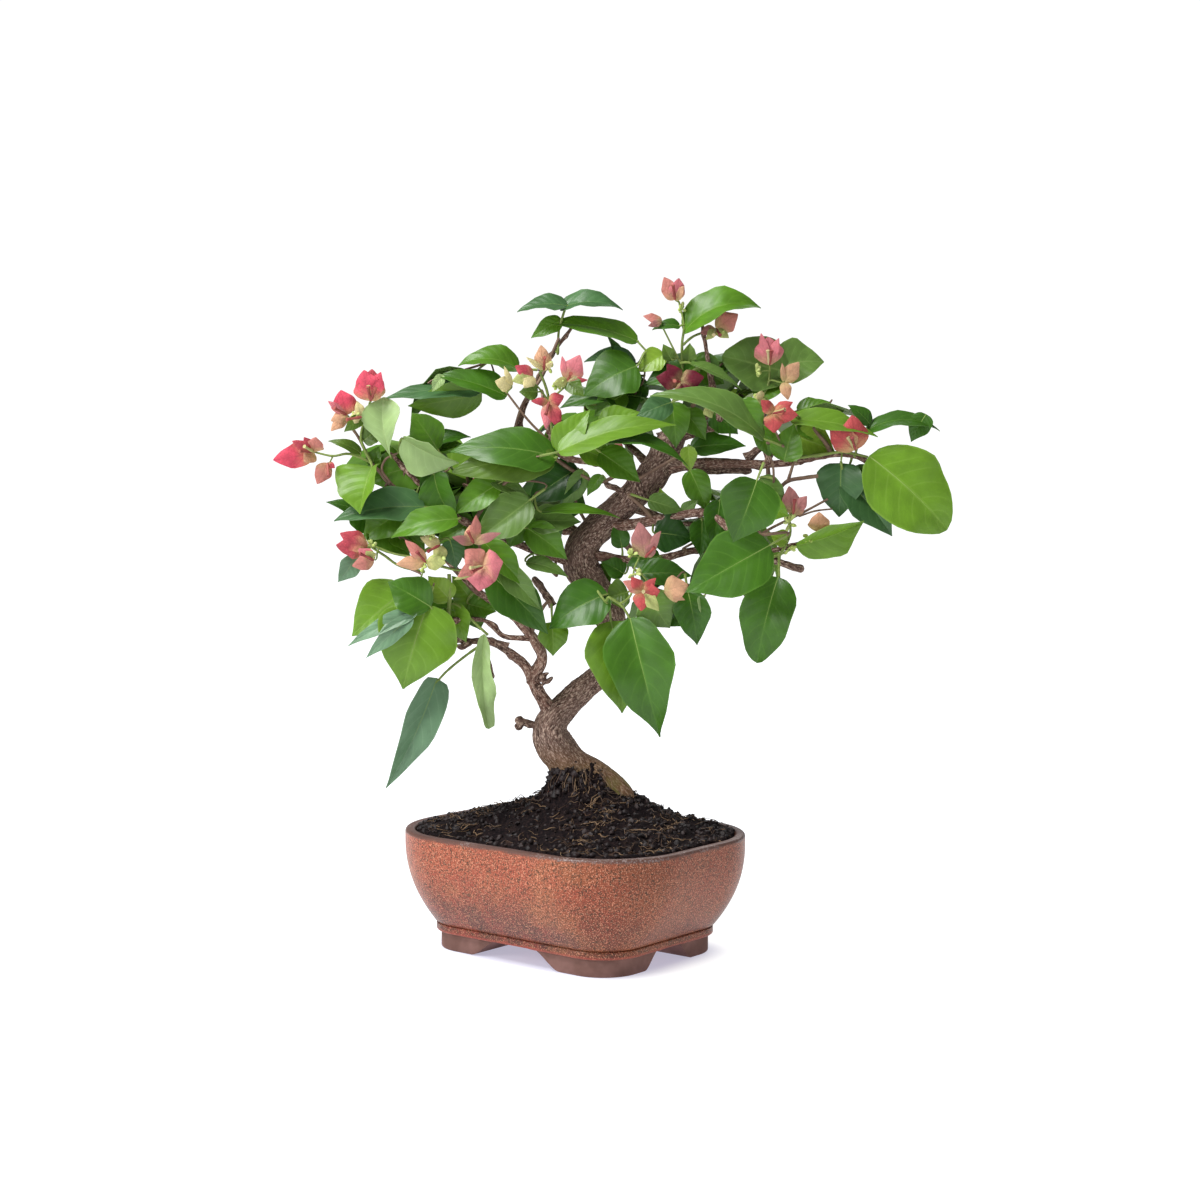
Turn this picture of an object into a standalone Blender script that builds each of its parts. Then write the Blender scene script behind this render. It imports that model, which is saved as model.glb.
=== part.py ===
# Bougainvillea bonsai in its own glazed pot, in metres with +Z up.
# The pot stands square to the axes with its long side along X. The tree is laid out in millimetres
# as (right, back, up) of its display side, which is turned from the pot's long side.
import math

import bmesh
import bpy
from mathutils import Matrix, Vector, noise

MM = 0.001
GAP = 0.3                       # left between pieces that touch
MASS_GAP = 0.4                  # the same along a mass's own rays, which meet its skin at a slant
SOCKET_GAP = 0.5                # the same round the flare of the trunk, where it stands in the soil
MERGE = 0.000002                # metres
DISPLAY_TURN = math.radians(39.2)
SMOOTH_ANGLE = math.radians(40)

# Pot: half length, half width and corner radius of its outline at the rim and at the base ledge
RIM = (93.4, 73.2, 50.9)
LEDGE = (71.4, 55.3, 25.6)
POT_HEIGHT = 69.0
LEDGE_BOTTOM = 10.3
LEDGE_TOP = 15.0
WALL_STRAIGHT = 62.0            # the wall stands upright above this height
WALL_CURVE = 2.1                # how late the wall turns in towards the ledge
WALL_HEIGHTS = (19, 24, 30, 37, 46, 55, 63)
INNER_HEIGHTS = (55, 37, 24)
WALL = 6.0
FLOOR = 17.0
EDGE_ROUND = 0.9
CORNER_STEPS = 5

# Feet: one block under the ledge, parted by an arch along each side
FOOT_INSET = 2.0
ARCH_LONG = (34.0, 12.0)        # half width at the ground and at the crown
ARCH_SHORT = (22.0, 8.0)
ARCH_HEIGHT = LEDGE_BOTTOM + 0.5
ARCH_STEPS = 6
ARCH_MARGIN = 15.0              # how far an arch's cutter runs past the rim
BELOW_GROUND = 2.0

# Soil: level near the rim, heaped up round the foot of the trunk
SOIL_EDGE = 66.5
HEAP_CENTRE = (6.0, 0.0)
HEAP_RISE = 28.0
COLLAR_RISE = 15.0
COLLAR_RADIUS = 22.0
SOIL_RINGS = (1.0, 0.82, 0.62, 0.44, 0.3, 0.19, 0.09)
SOIL_LUMP = 1.5
SOIL_LUMP_SCALE = 0.06

# Trunk: (right, back, up, radius) at its foot, at each bend and at the stub on top
TRUNK = [
    (11, 0, 88, 16), (-1, -1, 104, 11), (-14, -4, 128, 10), (2, 1, 147, 7.5), (24, 4, 168, 7),
    (18, 2, 198, 9), (3, 0, 226, 9.5), (22, 2, 250, 8), (43, 2, 270, 8.5), (54, 4, 290, 8.5),
    (64, 5, 304, 3.5),
]
TRUNK_CUT = TRUNK[0][2]
TRUNK_SIDES = 12
TRUNK_FLUTES = 0.07
FLUTE_COUNT = 3
FLUTE_TWIST = 0.05              # radians a millimetre up
ROOTS = {"right": (0, 6.0), "front": (-100, 3.5), "left": (160, 3.0), "back": (80, 4.5)}
ROOT_HEIGHT = 13.0
ROOT_SPREAD = 1.3

# Boughs: the limb each springs from, how many bends along that limb, its own bends as
# (right, back, up), the mass it ends in, and its radius at both ends
BOUGHS = {
    "bough_left_low": ("trunk", 2.3, [(-21, -8, 151), (-29, -14, 167), (-50, -21, 180)],
                       "foliage_left_curl", 4.5, 1.5),
    "bough_left_fork": ("bough_left_low", 1.4, [(-18, -13, 172), (-35, -15, 194), (-57, -19, 210)],
                        "foliage_left_mid", 4, 1.5),
    "bough_left_twig": ("bough_left_fork", 1.4, [(-39, -17, 182), (-53, -22, 192)],
                        "foliage_left_low", 1.6, 1),
    "bough_left_mid": ("trunk", 5.8, [(-29, -13, 233), (-66, -22, 250)], "foliage_left_high", 3, 1.2),
    "bough_left_high": ("trunk", 7.9, [(17, -8, 279), (-9, -14, 286)], "foliage_bloom_spray", 3, 1),
    "bough_top_left": ("bough_left_high", 1.7, [(-23, -1, 291), (-30, 5, 304), (-17, 9, 334)],
                       "foliage_top_left", 1.6, 1),
    "bough_top": ("trunk", 9.3, [(82, 0, 303), (78, 2, 327)], "foliage_crown_top", 4, 1),
    "bough_right_high": ("trunk", 8.3, [(75, -2, 279), (115, -7, 279), (156, -9, 284)],
                         "foliage_far_right", 5.5, 1.2),
    "bough_right_shoot": ("bough_right_high", 1.9, [(107, -5, 300)], "foliage_top_right", 2, 1.2),
    "bough_right_mid": ("trunk", 6.7, [(41, -8, 246), (74, -19, 252)], "foliage_right_mid", 4, 1.8),
    "bough_right_low": ("trunk", 6.1, [(40, -5, 224), (74, -11, 231), (105, -11, 229)],
                        "foliage_right_spray", 3.5, 1.3),
    "bough_back_left": ("trunk", 6.5, [(-17, 28, 243)], "foliage_back_left", 3, 1.5),
    "bough_back_mid": ("trunk", 6.0, [(0, 30, 236)], "foliage_back_mid", 3, 1.5),
    "bough_back_centre": ("trunk", 8.2, [(36, 30, 285)], "foliage_back_centre", 3, 1.5),
    "bough_back_right": ("trunk", 7.3, [(52, 26, 247)], "foliage_back_right", 3, 1.5),
    "bough_back_high": ("trunk", 9.4, [(80, 30, 308)], "foliage_back_high", 3, 1.5),
    "bough_back_low": ("trunk", 6.8, [(33, 25, 228)], "foliage_back_low", 3, 1.5),
}
LIMB_STEPS = 2                  # points worked out from one bend to the next
STOUT = 4                       # a limb with a larger radius gets rounder

# Foliage: the middle of each mass, its half sizes, its leaf tips as {bearing: reach} seen from the
# display side, with 0 to the right and 90 up, and the limb it hangs on where no bough ends in it
FOLIAGE = {
    "foliage_left_high": ((-106, -12, 288), (30, 30, 25),
                          {186: 62, 140: 40, 100: 45, -5: 41, -110: 38, -145: 37}, None),
    "foliage_left_mid": ((-79, -32, 237), (36, 28, 22),
                         {160: 62, 180: 52, -160: 51, 55: 39, 13: 50, -22: 44}, None),
    "foliage_left_low": ((-91, -34, 190), (26, 24, 18), {-163: 34, 150: 38, -92: 35, 8: 45}, None),
    "foliage_left_hanging": ((-90, -23, 133), (11, 5, 20), {-114: 41, 62: 26}, "bough_left_low"),
    "foliage_left_curl": ((-45, -26, 159), (6, 4, 22), {-100: 28}, None),
    "foliage_centre_high": ((-39, -24, 284), (26, 18, 14), {175: 28, -156: 32}, "bough_left_high"),
    "foliage_centre": ((-19, -20, 248), (26, 18, 20), {57: 35}, "trunk"),
    "foliage_centre_low": ((-31, -34, 210), (16, 9, 23), {122: 32, -56: 29}, "bough_left_fork"),
    "foliage_front_high": ((46, -24, 225), (25, 17, 25), {-63: 51, -108: 30, 71: 28}, "bough_right_low"),
    "foliage_front_low": ((40, -36, 166), (18, 9, 28), {-78: 38, -114: 32, 0: 22}, "trunk"),
    "foliage_front_left": ((3, -14, 202), (17, 10, 13), {-125: 37}, "trunk"),
    "foliage_top_left": ((1, 8, 359), (26, 15, 8), {169: 33, 47: 24, -18: 39, -160: 26}, None),
    "foliage_high_left": ((-70, 0, 324), (27, 16, 12), {-168: 38, 39: 28, -115: 21}, "bough_top_left"),
    "foliage_bloom_spray": ((-18, -8, 321), (18, 16, 18), {175: 25, 92: 24, 29: 29}, None),
    "foliage_high_centre": ((21, 8, 325), (21, 17, 16), {87: 20}, "bough_left_high"),
    "foliage_centre_right": ((26, -20, 294), (29, 14, 17), {-170: 35, 13: 31, -26: 41}, "bough_left_high"),
    "foliage_crown_top": ((73, 5, 358), (23, 17, 16),
                          {123: 31, 17: 34, 58: 26, 175: 34, -108: 23}, None),
    "foliage_top_right": ((111, 12, 337), (29, 20, 17), {-2: 31}, None),
    "foliage_high_right": ((72, -16, 310), (30, 15, 14), {169: 33, 15: 34, -36: 39, 128: 31}, "bough_top"),
    "foliage_right_high": ((138, -12, 301), (31, 17, 12),
                           {185: 31, -13: 32, 131: 20, -134: 28}, "bough_right_high"),
    "foliage_far_right_high": ((182, 0, 305), (21, 12, 4.5), {165: 27, -16: 26, -55: 16},
                               "bough_right_high"),
    "foliage_far_right": ((187, -14, 266), (23, 9, 23), {141: 26, -27: 29, -48: 31, 97: 25}, None),
    "foliage_far_right_back": ((162, 4, 261), (20, 12, 18), {113: 23, -52: 28, -162: 22},
                               "bough_right_high"),
    "foliage_right_mid": ((89, -32, 240), (24, 16, 31), {33: 31, -127: 40}, None),
    "foliage_right_hanging": ((110, -18, 192), (14, 6, 21), {-118: 26}, "bough_right_low"),
    "foliage_right_spray": ((139, -12, 237), (21, 12, 12), {119: 33, 22: 27}, None),
    "foliage_mid_right": ((58, -14, 260), (14, 9, 8), {71: 18, -121: 12}, "trunk"),
    "foliage_back_left": ((-72, 46, 257), (29, 30, 24), {}, None),
    "foliage_back_mid": ((-9, 66, 244), (24, 29, 19), {}, None),
    "foliage_back_centre": ((18, 54, 301), (28, 30, 27), {}, None),
    "foliage_back_right": ((90, 50, 239), (29, 32, 27), {}, None),
    "foliage_back_high": ((107, 60, 320), (26, 31, 20), {}, None),
    "foliage_back_low": ((48, 54, 203), (23, 27, 20), {}, None),
}
UNEVEN = 0.3                    # how far a mass swells and sinks about its egg shape
UNEVEN_SCALE = 1.7
SEED_STEP = 7.3
TIP_SPREAD = math.radians(20)
MASS_SIDES = (12, 7)
THIN_SIDES = (10, 7)
THIN = 11.0                     # a mass with a half size under this gets fewer faces


def clearScene():
    for thing in list(bpy.data.objects):
        bpy.data.objects.remove(thing)


def makeCollection(name):
    collection = bpy.data.collections.new(name)
    bpy.context.scene.collection.children.link(collection)
    return collection


def makeMaterial(name, colour, roughness):
    material = bpy.data.materials.new(name)
    material.use_nodes = True
    shader = material.node_tree.nodes["Principled BSDF"]
    shader.inputs["Base Color"].default_value = (*colour, 1)
    shader.inputs["Roughness"].default_value = roughness
    shader.inputs["Metallic"].default_value = 0
    return material


def addObject(name, data, parent, collection):
    thing = bpy.data.objects.new(name, data)
    collection.objects.link(thing)
    thing.parent = parent
    return thing


def loft(name, rings, parent, collection):
    """Closed skin over rings of equal length, given in millimetres from the lowest up."""
    mesh = bpy.data.meshes.new(name)
    bm = bmesh.new()
    rows = [[bm.verts.new(Vector(point) * MM) for point in ring] for ring in rings]
    for low, high in zip(rows, rows[1:]):
        for i in range(len(low)):
            j = (i + 1) % len(low)
            bm.faces.new((low[i], low[j], high[j], high[i]))
    bm.faces.new(list(reversed(rows[0])))
    bm.faces.new(rows[-1])
    bmesh.ops.recalc_face_normals(bm, faces=bm.faces)
    bmesh.ops.triangulate(bm, faces=bm.faces)
    bm.to_mesh(mesh)
    bm.free()
    return addObject(name, mesh, parent, collection)


def freeze(thing, keepLargest=False):
    """Replace an object's mesh, curve and modifiers by the mesh that they come to."""
    bpy.context.view_layer.update()
    ready = thing.evaluated_get(bpy.context.evaluated_depsgraph_get())
    mesh = bpy.data.meshes.new_from_object(ready)
    bm = bmesh.new()
    bm.from_mesh(mesh)
    bmesh.ops.remove_doubles(bm, verts=bm.verts, dist=MERGE)
    bmesh.ops.triangulate(bm, faces=bm.faces)
    if keepLargest:
        dropSmallShells(bm)
    bm.to_mesh(mesh)
    bm.free()
    name, parent, collection = thing.name, thing.parent, thing.users_collection[0]
    bpy.data.objects.remove(thing)
    return addObject(name, mesh, parent, collection)


def dropSmallShells(bm):
    """A cut can part a piece in two; only its largest shell stays."""
    shells, seen = [], set()
    for start in bm.verts:
        if start in seen:
            continue
        shell, waiting = [], [start]
        seen.add(start)
        while waiting:
            vert = waiting.pop()
            shell.append(vert)
            for edge in vert.link_edges:
                other = edge.other_vert(vert)
                if other not in seen:
                    seen.add(other)
                    waiting.append(other)
        shells.append(shell)
    shells.sort(key=len, reverse=True)
    for shell in shells[1:]:
        bmesh.ops.delete(bm, geom=shell, context="VERTS")


def addBoolean(thing, cutter, operation="DIFFERENCE"):
    modifier = thing.modifiers.new(cutter.name, "BOOLEAN")
    modifier.operation = operation
    modifier.solver = "EXACT"
    modifier.object = cutter


def roundedRing(outline, inset, height):
    """A rounded rectangle, counter-clockwise, as (x, y, z) points."""
    halfLength, halfWidth, radius = (size - inset for size in outline)
    ring = []
    for corner in range(4):
        sideX = 1 if corner in (0, 3) else -1
        sideY = 1 if corner < 2 else -1
        centreX = sideX * (halfLength - radius)
        centreY = sideY * (halfWidth - radius)
        for step in range(CORNER_STEPS + 1):
            angle = math.radians(90) * (corner + step / CORNER_STEPS)
            ring.append((centreX + radius * math.cos(angle), centreY + radius * math.sin(angle), height))
    return ring


def potOutline(height):
    """The pot's outer outline at a height: the rim's, drawn in towards the ledge's lower down."""
    drop = (WALL_STRAIGHT - min(height, WALL_STRAIGHT)) / (WALL_STRAIGHT - LEDGE_TOP)
    inward = min(drop, 1) ** WALL_CURVE
    return [rim + (ledge - rim) * inward for rim, ledge in zip(RIM, LEDGE)]


def archCutter(name, halfWidths, turn, parent, collection):
    """A bar whose section is an arch with ogee sides, lying through the foot block."""
    foot, crown = halfWidths
    side = []
    for step in range(ARCH_STEPS + 1):
        part = step / ARCH_STEPS
        rise = ARCH_HEIGHT * (part * part * (3 - 2 * part))
        side.append((foot + (crown - foot) * part, rise))
    section = [(foot, -BELOW_GROUND)] + side + [(-x, z) for x, z in reversed(side)]
    section.append((-foot, -BELOW_GROUND))
    reach = RIM[0] + ARCH_MARGIN
    rings = []
    for y in (-reach, reach):
        rings.append([(x * math.cos(turn) - y * math.sin(turn), x * math.sin(turn) + y * math.cos(turn), z)
                      for x, z in section])
    return loft(name, rings, parent, collection)


def buildPot(parent, parts, cutters):
    ledge = potOutline(LEDGE_TOP)
    rings = [roundedRing(ledge, EDGE_ROUND, LEDGE_BOTTOM), roundedRing(ledge, 0, LEDGE_BOTTOM + EDGE_ROUND),
             roundedRing(ledge, 0, LEDGE_TOP - EDGE_ROUND), roundedRing(ledge, EDGE_ROUND, LEDGE_TOP)]
    for height in WALL_HEIGHTS:
        rings.append(roundedRing(potOutline(height), 0, height))
    rings.append(roundedRing(RIM, 0, POT_HEIGHT - EDGE_ROUND))
    rings.append(roundedRing(RIM, EDGE_ROUND, POT_HEIGHT))
    rings.append(roundedRing(RIM, WALL - EDGE_ROUND, POT_HEIGHT))
    for height in (POT_HEIGHT - EDGE_ROUND, *INNER_HEIGHTS, FLOOR):
        rings.append(roundedRing(potOutline(height), WALL, height))
    pot = loft("pot", rings, parent, parts)

    foot = [roundedRing(ledge, FOOT_INSET + EDGE_ROUND, 0), roundedRing(ledge, FOOT_INSET, EDGE_ROUND),
            roundedRing(ledge, FOOT_INSET, LEDGE_BOTTOM + 1)]
    addBoolean(pot, loft("foot_block", foot, parent, cutters), "UNION")
    addBoolean(pot, archCutter("arch_long", ARCH_LONG, 0, parent, cutters))
    addBoolean(pot, archCutter("arch_short", ARCH_SHORT, math.radians(90), parent, cutters))
    return freeze(pot)


def soilRing(scale, centre):
    ring = []
    edge = roundedRing(potOutline(SOIL_EDGE), WALL + GAP, SOIL_EDGE)
    for x, y, height in edge:
        x, y = centre[0] + (x - centre[0]) * scale, centre[1] + (y - centre[1]) * scale
        distance = math.hypot(x - centre[0], y - centre[1])
        height += HEAP_RISE * (1 - scale) + COLLAR_RISE * math.exp(-((distance / COLLAR_RADIUS) ** 4))
        if scale < 1:
            height += SOIL_LUMP * noise.noise(Vector((x, y, 0)) * SOIL_LUMP_SCALE)
        ring.append((x, y, height))
    return ring


def buildSoil(parent, parts, socketCutter):
    turned = Matrix.Rotation(DISPLAY_TURN, 3, "Z") @ Vector((*HEAP_CENTRE, 0))
    rings = [roundedRing(potOutline(height), WALL + GAP, height + GAP if height == FLOOR else height)
             for height in (FLOOR, *reversed(INNER_HEIGHTS))]
    rings += [soilRing(scale, turned) for scale in SOIL_RINGS]
    soil = loft("soil", rings, parent, parts)
    addBoolean(soil, socketCutter)
    return freeze(soil, keepLargest=True)


def smoothPath(bends):
    """Points with radii along a smooth curve (Catmull-Rom) that runs through the bends."""
    bends = [Vector(bend) for bend in bends]
    path = []
    for i in range(len(bends) - 1):
        before, start = bends[max(i - 1, 0)], bends[i]
        end, after = bends[i + 1], bends[min(i + 2, len(bends) - 1)]
        for step in range(LIMB_STEPS):
            t = step / LIMB_STEPS
            path.append((start * 2 + (end - before) * t
                         + (before * 2 - start * 5 + end * 4 - after) * t ** 2
                         + (start * 3 - before - end * 3 + after) * t ** 3) / 2)
    path.append(bends[-1])
    return path


def limbPaths():
    """The trunk's path, and each bough's from its source limb through its bends into its mass."""
    paths = {"trunk": smoothPath(TRUNK)}
    for name, (source, along, bends, mass, thick, thin) in BOUGHS.items():
        place = along * LIMB_STEPS
        low = int(place)
        start = paths[source][low].lerp(paths[source][low + 1], place - low)
        route = [start[:3], *bends, FOLIAGE[mass][0]]
        last = len(route) - 1
        paths[name] = smoothPath([(*spot, thick + (thin - thick) * i / last) for i, spot in enumerate(route)])
    return paths


def trunkRings(path, grow):
    rings = []
    points = [spot.to_3d() for spot in path]
    for i, centre in enumerate(points):
        ahead = points[min(i + 1, len(points) - 1)] - points[max(i - 1, 0)]
        upright = max(0, 1 - (centre.z - TRUNK_CUT) / ROOT_HEIGHT)
        along = ahead.normalized().lerp(Vector((0, 0, 1)), upright).normalized()
        back = (Vector((0, 1, 0)) - along * along.y).normalized()
        right = back.cross(along)
        flare = math.exp(-(((centre.z - TRUNK_CUT) / ROOT_HEIGHT) ** 2))
        ring = []
        for side in range(TRUNK_SIDES):
            angle = math.tau * side / TRUNK_SIDES
            flute = math.sin(FLUTE_COUNT * angle + centre.z * FLUTE_TWIST)
            radius = path[i][3] * (1 + TRUNK_FLUTES * flute)
            for bearing, reach in ROOTS.values():
                near = (angle - math.radians(bearing) + math.pi) % math.tau - math.pi
                radius += flare * reach * math.exp(-((near * ROOT_SPREAD) ** 2))
            ring.append(centre + (right * math.cos(angle) + back * math.sin(angle)) * (radius + grow))
        rings.append(ring)
    if grow:
        rings.insert(0, [point - Vector((0, 0, grow)) for point in rings[0]])
        rings.append([point + Vector((0, 0, grow)) for point in rings[-1]])
    return rings


def buildLimb(name, path, grow, parent, collection):
    """One tapering limb: a curve with a round bevel, its radius set point by point."""
    curve = bpy.data.curves.new(name, "CURVE")
    curve.dimensions = "3D"
    curve.bevel_depth = MM
    curve.bevel_resolution = 2 if path[0][3] > STOUT else 1
    curve.use_fill_caps = True
    spline = curve.splines.new("POLY")
    spline.points.add(len(path) - 1)
    for point, spot in zip(spline.points, path):
        point.co = (*(spot.to_3d() * MM), 1)
        point.radius = spot[3] + grow
    return freeze(addObject(name, curve, parent, collection))


def nearestOnLimb(limb, paths, place):
    """The point nearest to a place on the middle of a limb, short of the stretch inside its mass."""
    path = paths[limb] if limb == "trunk" else paths[limb][:-LIMB_STEPS]
    spots = []
    for one, two in zip(path, path[1:]):
        start, run = one.to_3d(), (two - one).to_3d()
        share = max(0, min(1, (place - start).dot(run) / run.length_squared))
        spots.append(start + run * share)
    return min(spots, key=lambda spot: (spot - place).length)


def buildMass(name, mass, paths, grow, parent, collection):
    """One foliage mass: a sphere drawn out to an uneven egg, its leaf tips and a stalk to its limb."""
    middle, halfSizes, tips, limb = FOLIAGE[mass]
    middle = Vector(middle)
    halfSizes = Vector(halfSizes)
    sides = THIN_SIDES if min(halfSizes) < THIN else MASS_SIDES
    seed = Vector((list(FOLIAGE).index(mass) * SEED_STEP, 0, 0))

    def eggRadius(aim):
        stretch = Vector(aim[i] / halfSizes[i] for i in range(3)).length
        return (1 + UNEVEN * noise.noise(aim * UNEVEN_SCALE + seed)) / stretch

    reaches = []
    for bearing, reach in tips.items():
        angle = math.radians(bearing)
        reaches.append((Vector((math.cos(angle), 0, math.sin(angle))), reach))
    bm = bmesh.new()
    bmesh.ops.create_uvsphere(bm, u_segments=sides[0], v_segments=sides[1], radius=1)
    aims = [vert.co.normalized() for vert in bm.verts]
    for vert, aim in zip(bm.verts, aims):
        radius = eggRadius(aim)
        longest = max([reach for tipAim, reach in reaches] + [radius])
        for tipAim, reach in reaches:
            spread = aim.angle(tipAim) / TIP_SPREAD
            radius += max(0, reach - eggRadius(tipAim)) * math.exp(-spread * spread)
        vert.co = (middle + aim * (min(radius, longest) + grow)) * MM
    if limb:
        stalk = nearestOnLimb(limb, paths, middle) - middle
        if stalk.length > eggRadius(stalk.normalized()):
            reaches.append((stalk.normalized(), stalk.length))
    bm.verts.ensure_lookup_table()
    free = set(range(len(aims)))
    for tipAim, reach in reaches:
        nearest = min(free, key=lambda i: aims[i].angle(tipAim))
        free.remove(nearest)
        bm.verts[nearest].co = (middle + tipAim * (reach + grow)) * MM
    bmesh.ops.triangulate(bm, faces=bm.faces)
    mesh = bpy.data.meshes.new(name)
    bm.to_mesh(mesh)
    bm.free()
    return addObject(name, mesh, parent, collection)


def boxesMeet(one, other):
    """Whether the boxes of two objects under one parent overlap."""
    boxes = []
    for thing in (one, other):
        corners = [vert.co for vert in thing.data.vertices]
        boxes.append([(min(c[i] for c in corners), max(c[i] for c in corners)) for i in range(3)])
    return all(a[0] < b[1] and b[0] < a[1] for a, b in zip(*boxes))


def buildTree(parent, parts, cutters):
    """Trunk, boughs cut back to their limb and to their mass, and masses cut round the rest."""
    paths = limbPaths()
    trunk = loft("trunk", trunkRings(paths["trunk"], 0), parent, parts)
    trunkCutter = loft("trunk_cutter", trunkRings(paths["trunk"], GAP), parent, cutters)
    boughs, limbCutters, masses, massCutters = {}, {"trunk": trunkCutter}, {}, {}
    for name in BOUGHS:
        boughs[name] = buildLimb(name, paths[name], 0, parent, parts)
        limbCutters[name] = buildLimb(name + "_cutter", paths[name], GAP, parent, cutters)
    for name in FOLIAGE:
        masses[name] = buildMass(name, name, paths, 0, parent, parts)
        massCutters[name] = buildMass(name + "_cutter", name, paths, MASS_GAP, parent, cutters)

    ready = [trunk]
    endMass = {}
    for name, bough in boughs.items():
        source, endMass[name] = BOUGHS[name][0], BOUGHS[name][3]
        addBoolean(bough, limbCutters[source])
        if source != "trunk" and boxesMeet(bough, trunkCutter):
            addBoolean(bough, trunkCutter)
        addBoolean(bough, massCutters[endMass[name]])
        ready.append(freeze(bough, keepLargest=True))
    done = []
    for name, mass in masses.items():
        for limb, cutter in limbCutters.items():
            if endMass.get(limb) != name and boxesMeet(mass, cutter):
                addBoolean(mass, cutter)
        for earlier in done:
            if boxesMeet(mass, massCutters[earlier]):
                addBoolean(mass, massCutters[earlier])
        done.append(name)
        ready.append(freeze(mass, keepLargest=True))
    return ready, loft("socket_cutter", trunkRings(paths["trunk"], SOCKET_GAP), parent, cutters)


def centreOnOrigin(root, things):
    """Shift the whole part so that its box stands on the origin's plane, centred over the origin."""
    bpy.context.view_layer.update()
    corners = [thing.matrix_world @ vert.co for thing in things for vert in thing.data.vertices]
    for axis in range(2):
        values = [corner[axis] for corner in corners]
        root.location[axis] -= (min(values) + max(values)) / 2


def main():
    clearScene()
    parts = makeCollection("bougainvillea_bonsai")
    cutters = makeCollection("cutters")
    glaze = makeMaterial("pot_glaze", (0.55, 0.21, 0.14), 0.25)
    earth = makeMaterial("soil", (0.035, 0.022, 0.016), 0.95)
    bark = makeMaterial("bark", (0.16, 0.1, 0.075), 0.85)
    leaf = makeMaterial("leaf", (0.1, 0.25, 0.04), 0.5)

    potMiddle = bpy.data.objects.new("pot_middle", None)
    parts.objects.link(potMiddle)
    display = bpy.data.objects.new("display_side", None)
    parts.objects.link(display)
    display.parent = potMiddle
    display.rotation_euler.z = DISPLAY_TURN

    tree, socketCutter = buildTree(display, parts, cutters)
    pot = buildPot(potMiddle, parts, cutters)
    soil = buildSoil(potMiddle, parts, socketCutter)
    for thing in tree:
        thing.data.materials.clear()
        thing.data.materials.append(leaf if thing.name.startswith("foliage") else bark)
    pot.data.materials.append(glaze)
    soil.data.materials.append(earth)
    for thing in (*tree, pot, soil):
        thing.data.shade_smooth()
        thing.data.set_sharp_from_angle(angle=SMOOTH_ANGLE)
    for cutter in cutters.objects:
        cutter.hide_render = True
        cutter.display_type = "WIRE"
    centreOnOrigin(potMiddle, tree + [pot, soil])


main()
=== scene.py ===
import math
import random

import bpy
import numpy as np
from mathutils import Matrix, Vector, noise


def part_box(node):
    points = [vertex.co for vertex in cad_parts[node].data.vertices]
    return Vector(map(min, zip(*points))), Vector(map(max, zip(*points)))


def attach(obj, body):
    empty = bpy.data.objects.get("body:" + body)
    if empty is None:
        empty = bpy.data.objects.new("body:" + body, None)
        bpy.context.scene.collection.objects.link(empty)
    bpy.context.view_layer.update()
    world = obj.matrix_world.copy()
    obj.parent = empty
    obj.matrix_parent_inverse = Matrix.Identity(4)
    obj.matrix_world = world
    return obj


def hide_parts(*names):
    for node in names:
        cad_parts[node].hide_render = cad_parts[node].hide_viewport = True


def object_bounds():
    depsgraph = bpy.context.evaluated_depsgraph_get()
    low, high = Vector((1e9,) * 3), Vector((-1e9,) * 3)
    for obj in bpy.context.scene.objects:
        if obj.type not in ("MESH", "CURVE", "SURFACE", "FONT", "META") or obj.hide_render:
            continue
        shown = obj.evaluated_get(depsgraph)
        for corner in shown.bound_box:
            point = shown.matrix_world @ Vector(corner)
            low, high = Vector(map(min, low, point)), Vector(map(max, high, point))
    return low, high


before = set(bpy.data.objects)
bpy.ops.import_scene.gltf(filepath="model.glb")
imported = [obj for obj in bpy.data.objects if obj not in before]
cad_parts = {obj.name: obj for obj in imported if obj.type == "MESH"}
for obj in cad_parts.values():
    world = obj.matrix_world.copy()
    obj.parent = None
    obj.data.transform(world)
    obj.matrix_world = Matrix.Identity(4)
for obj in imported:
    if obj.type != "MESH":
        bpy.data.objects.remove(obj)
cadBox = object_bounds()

mm = 0.001
dice = random.Random(11)

# The display side of the plant: how far it is turned from the pot's long side, and the view onto it.
# Sizes are in millimetres, and places in the view are dots of a square that is 1200 dots wide.
display = dict(azimuth=39.2, pitch=4.48, distance=1300, aimRight=14.9, aimUp=201.2, lens=68.25, film=36,
               dots=1200)
azimuth = math.radians(display["azimuth"])
pitch = math.radians(display["pitch"])
focal = display["lens"] / display["film"] * display["dots"]
middleDot = display["dots"] / 2
potLow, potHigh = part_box("pot")
potMiddle = Vector(((potLow.x + potHigh.x) / 2, (potLow.y + potHigh.y) / 2, 0))
potToModel = Matrix.Translation(potMiddle) @ Matrix.Scale(mm, 4)
displayToModel = Matrix.Translation(potMiddle) @ Matrix.Rotation(azimuth, 4, "Z") @ Matrix.Scale(mm, 4)


def atView(x, y, back):
    # the place (right, back, up) that shows at a dot of the view, at a depth behind the pot's middle
    across = (x - middleDot) / focal
    rise = (middleDot - y) / focal
    up = rise * (display["distance"] + back * math.cos(pitch)) - back * math.sin(pitch)
    up /= math.cos(pitch) + rise * math.sin(pitch)
    depth = display["distance"] + back * math.cos(pitch) - up * math.sin(pitch)
    return Vector((across * depth + display["aimRight"], back, up + display["aimUp"]))


def toView(spot):
    # the dot of the view at which a place shows
    up = spot[2] - display["aimUp"]
    depth = display["distance"] + spot[1] * math.cos(pitch) - up * math.sin(pitch)
    rise = spot[1] * math.sin(pitch) + up * math.cos(pitch)
    return middleDot + focal * (spot[0] - display["aimRight"]) / depth, middleDot - focal * rise / depth


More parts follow.
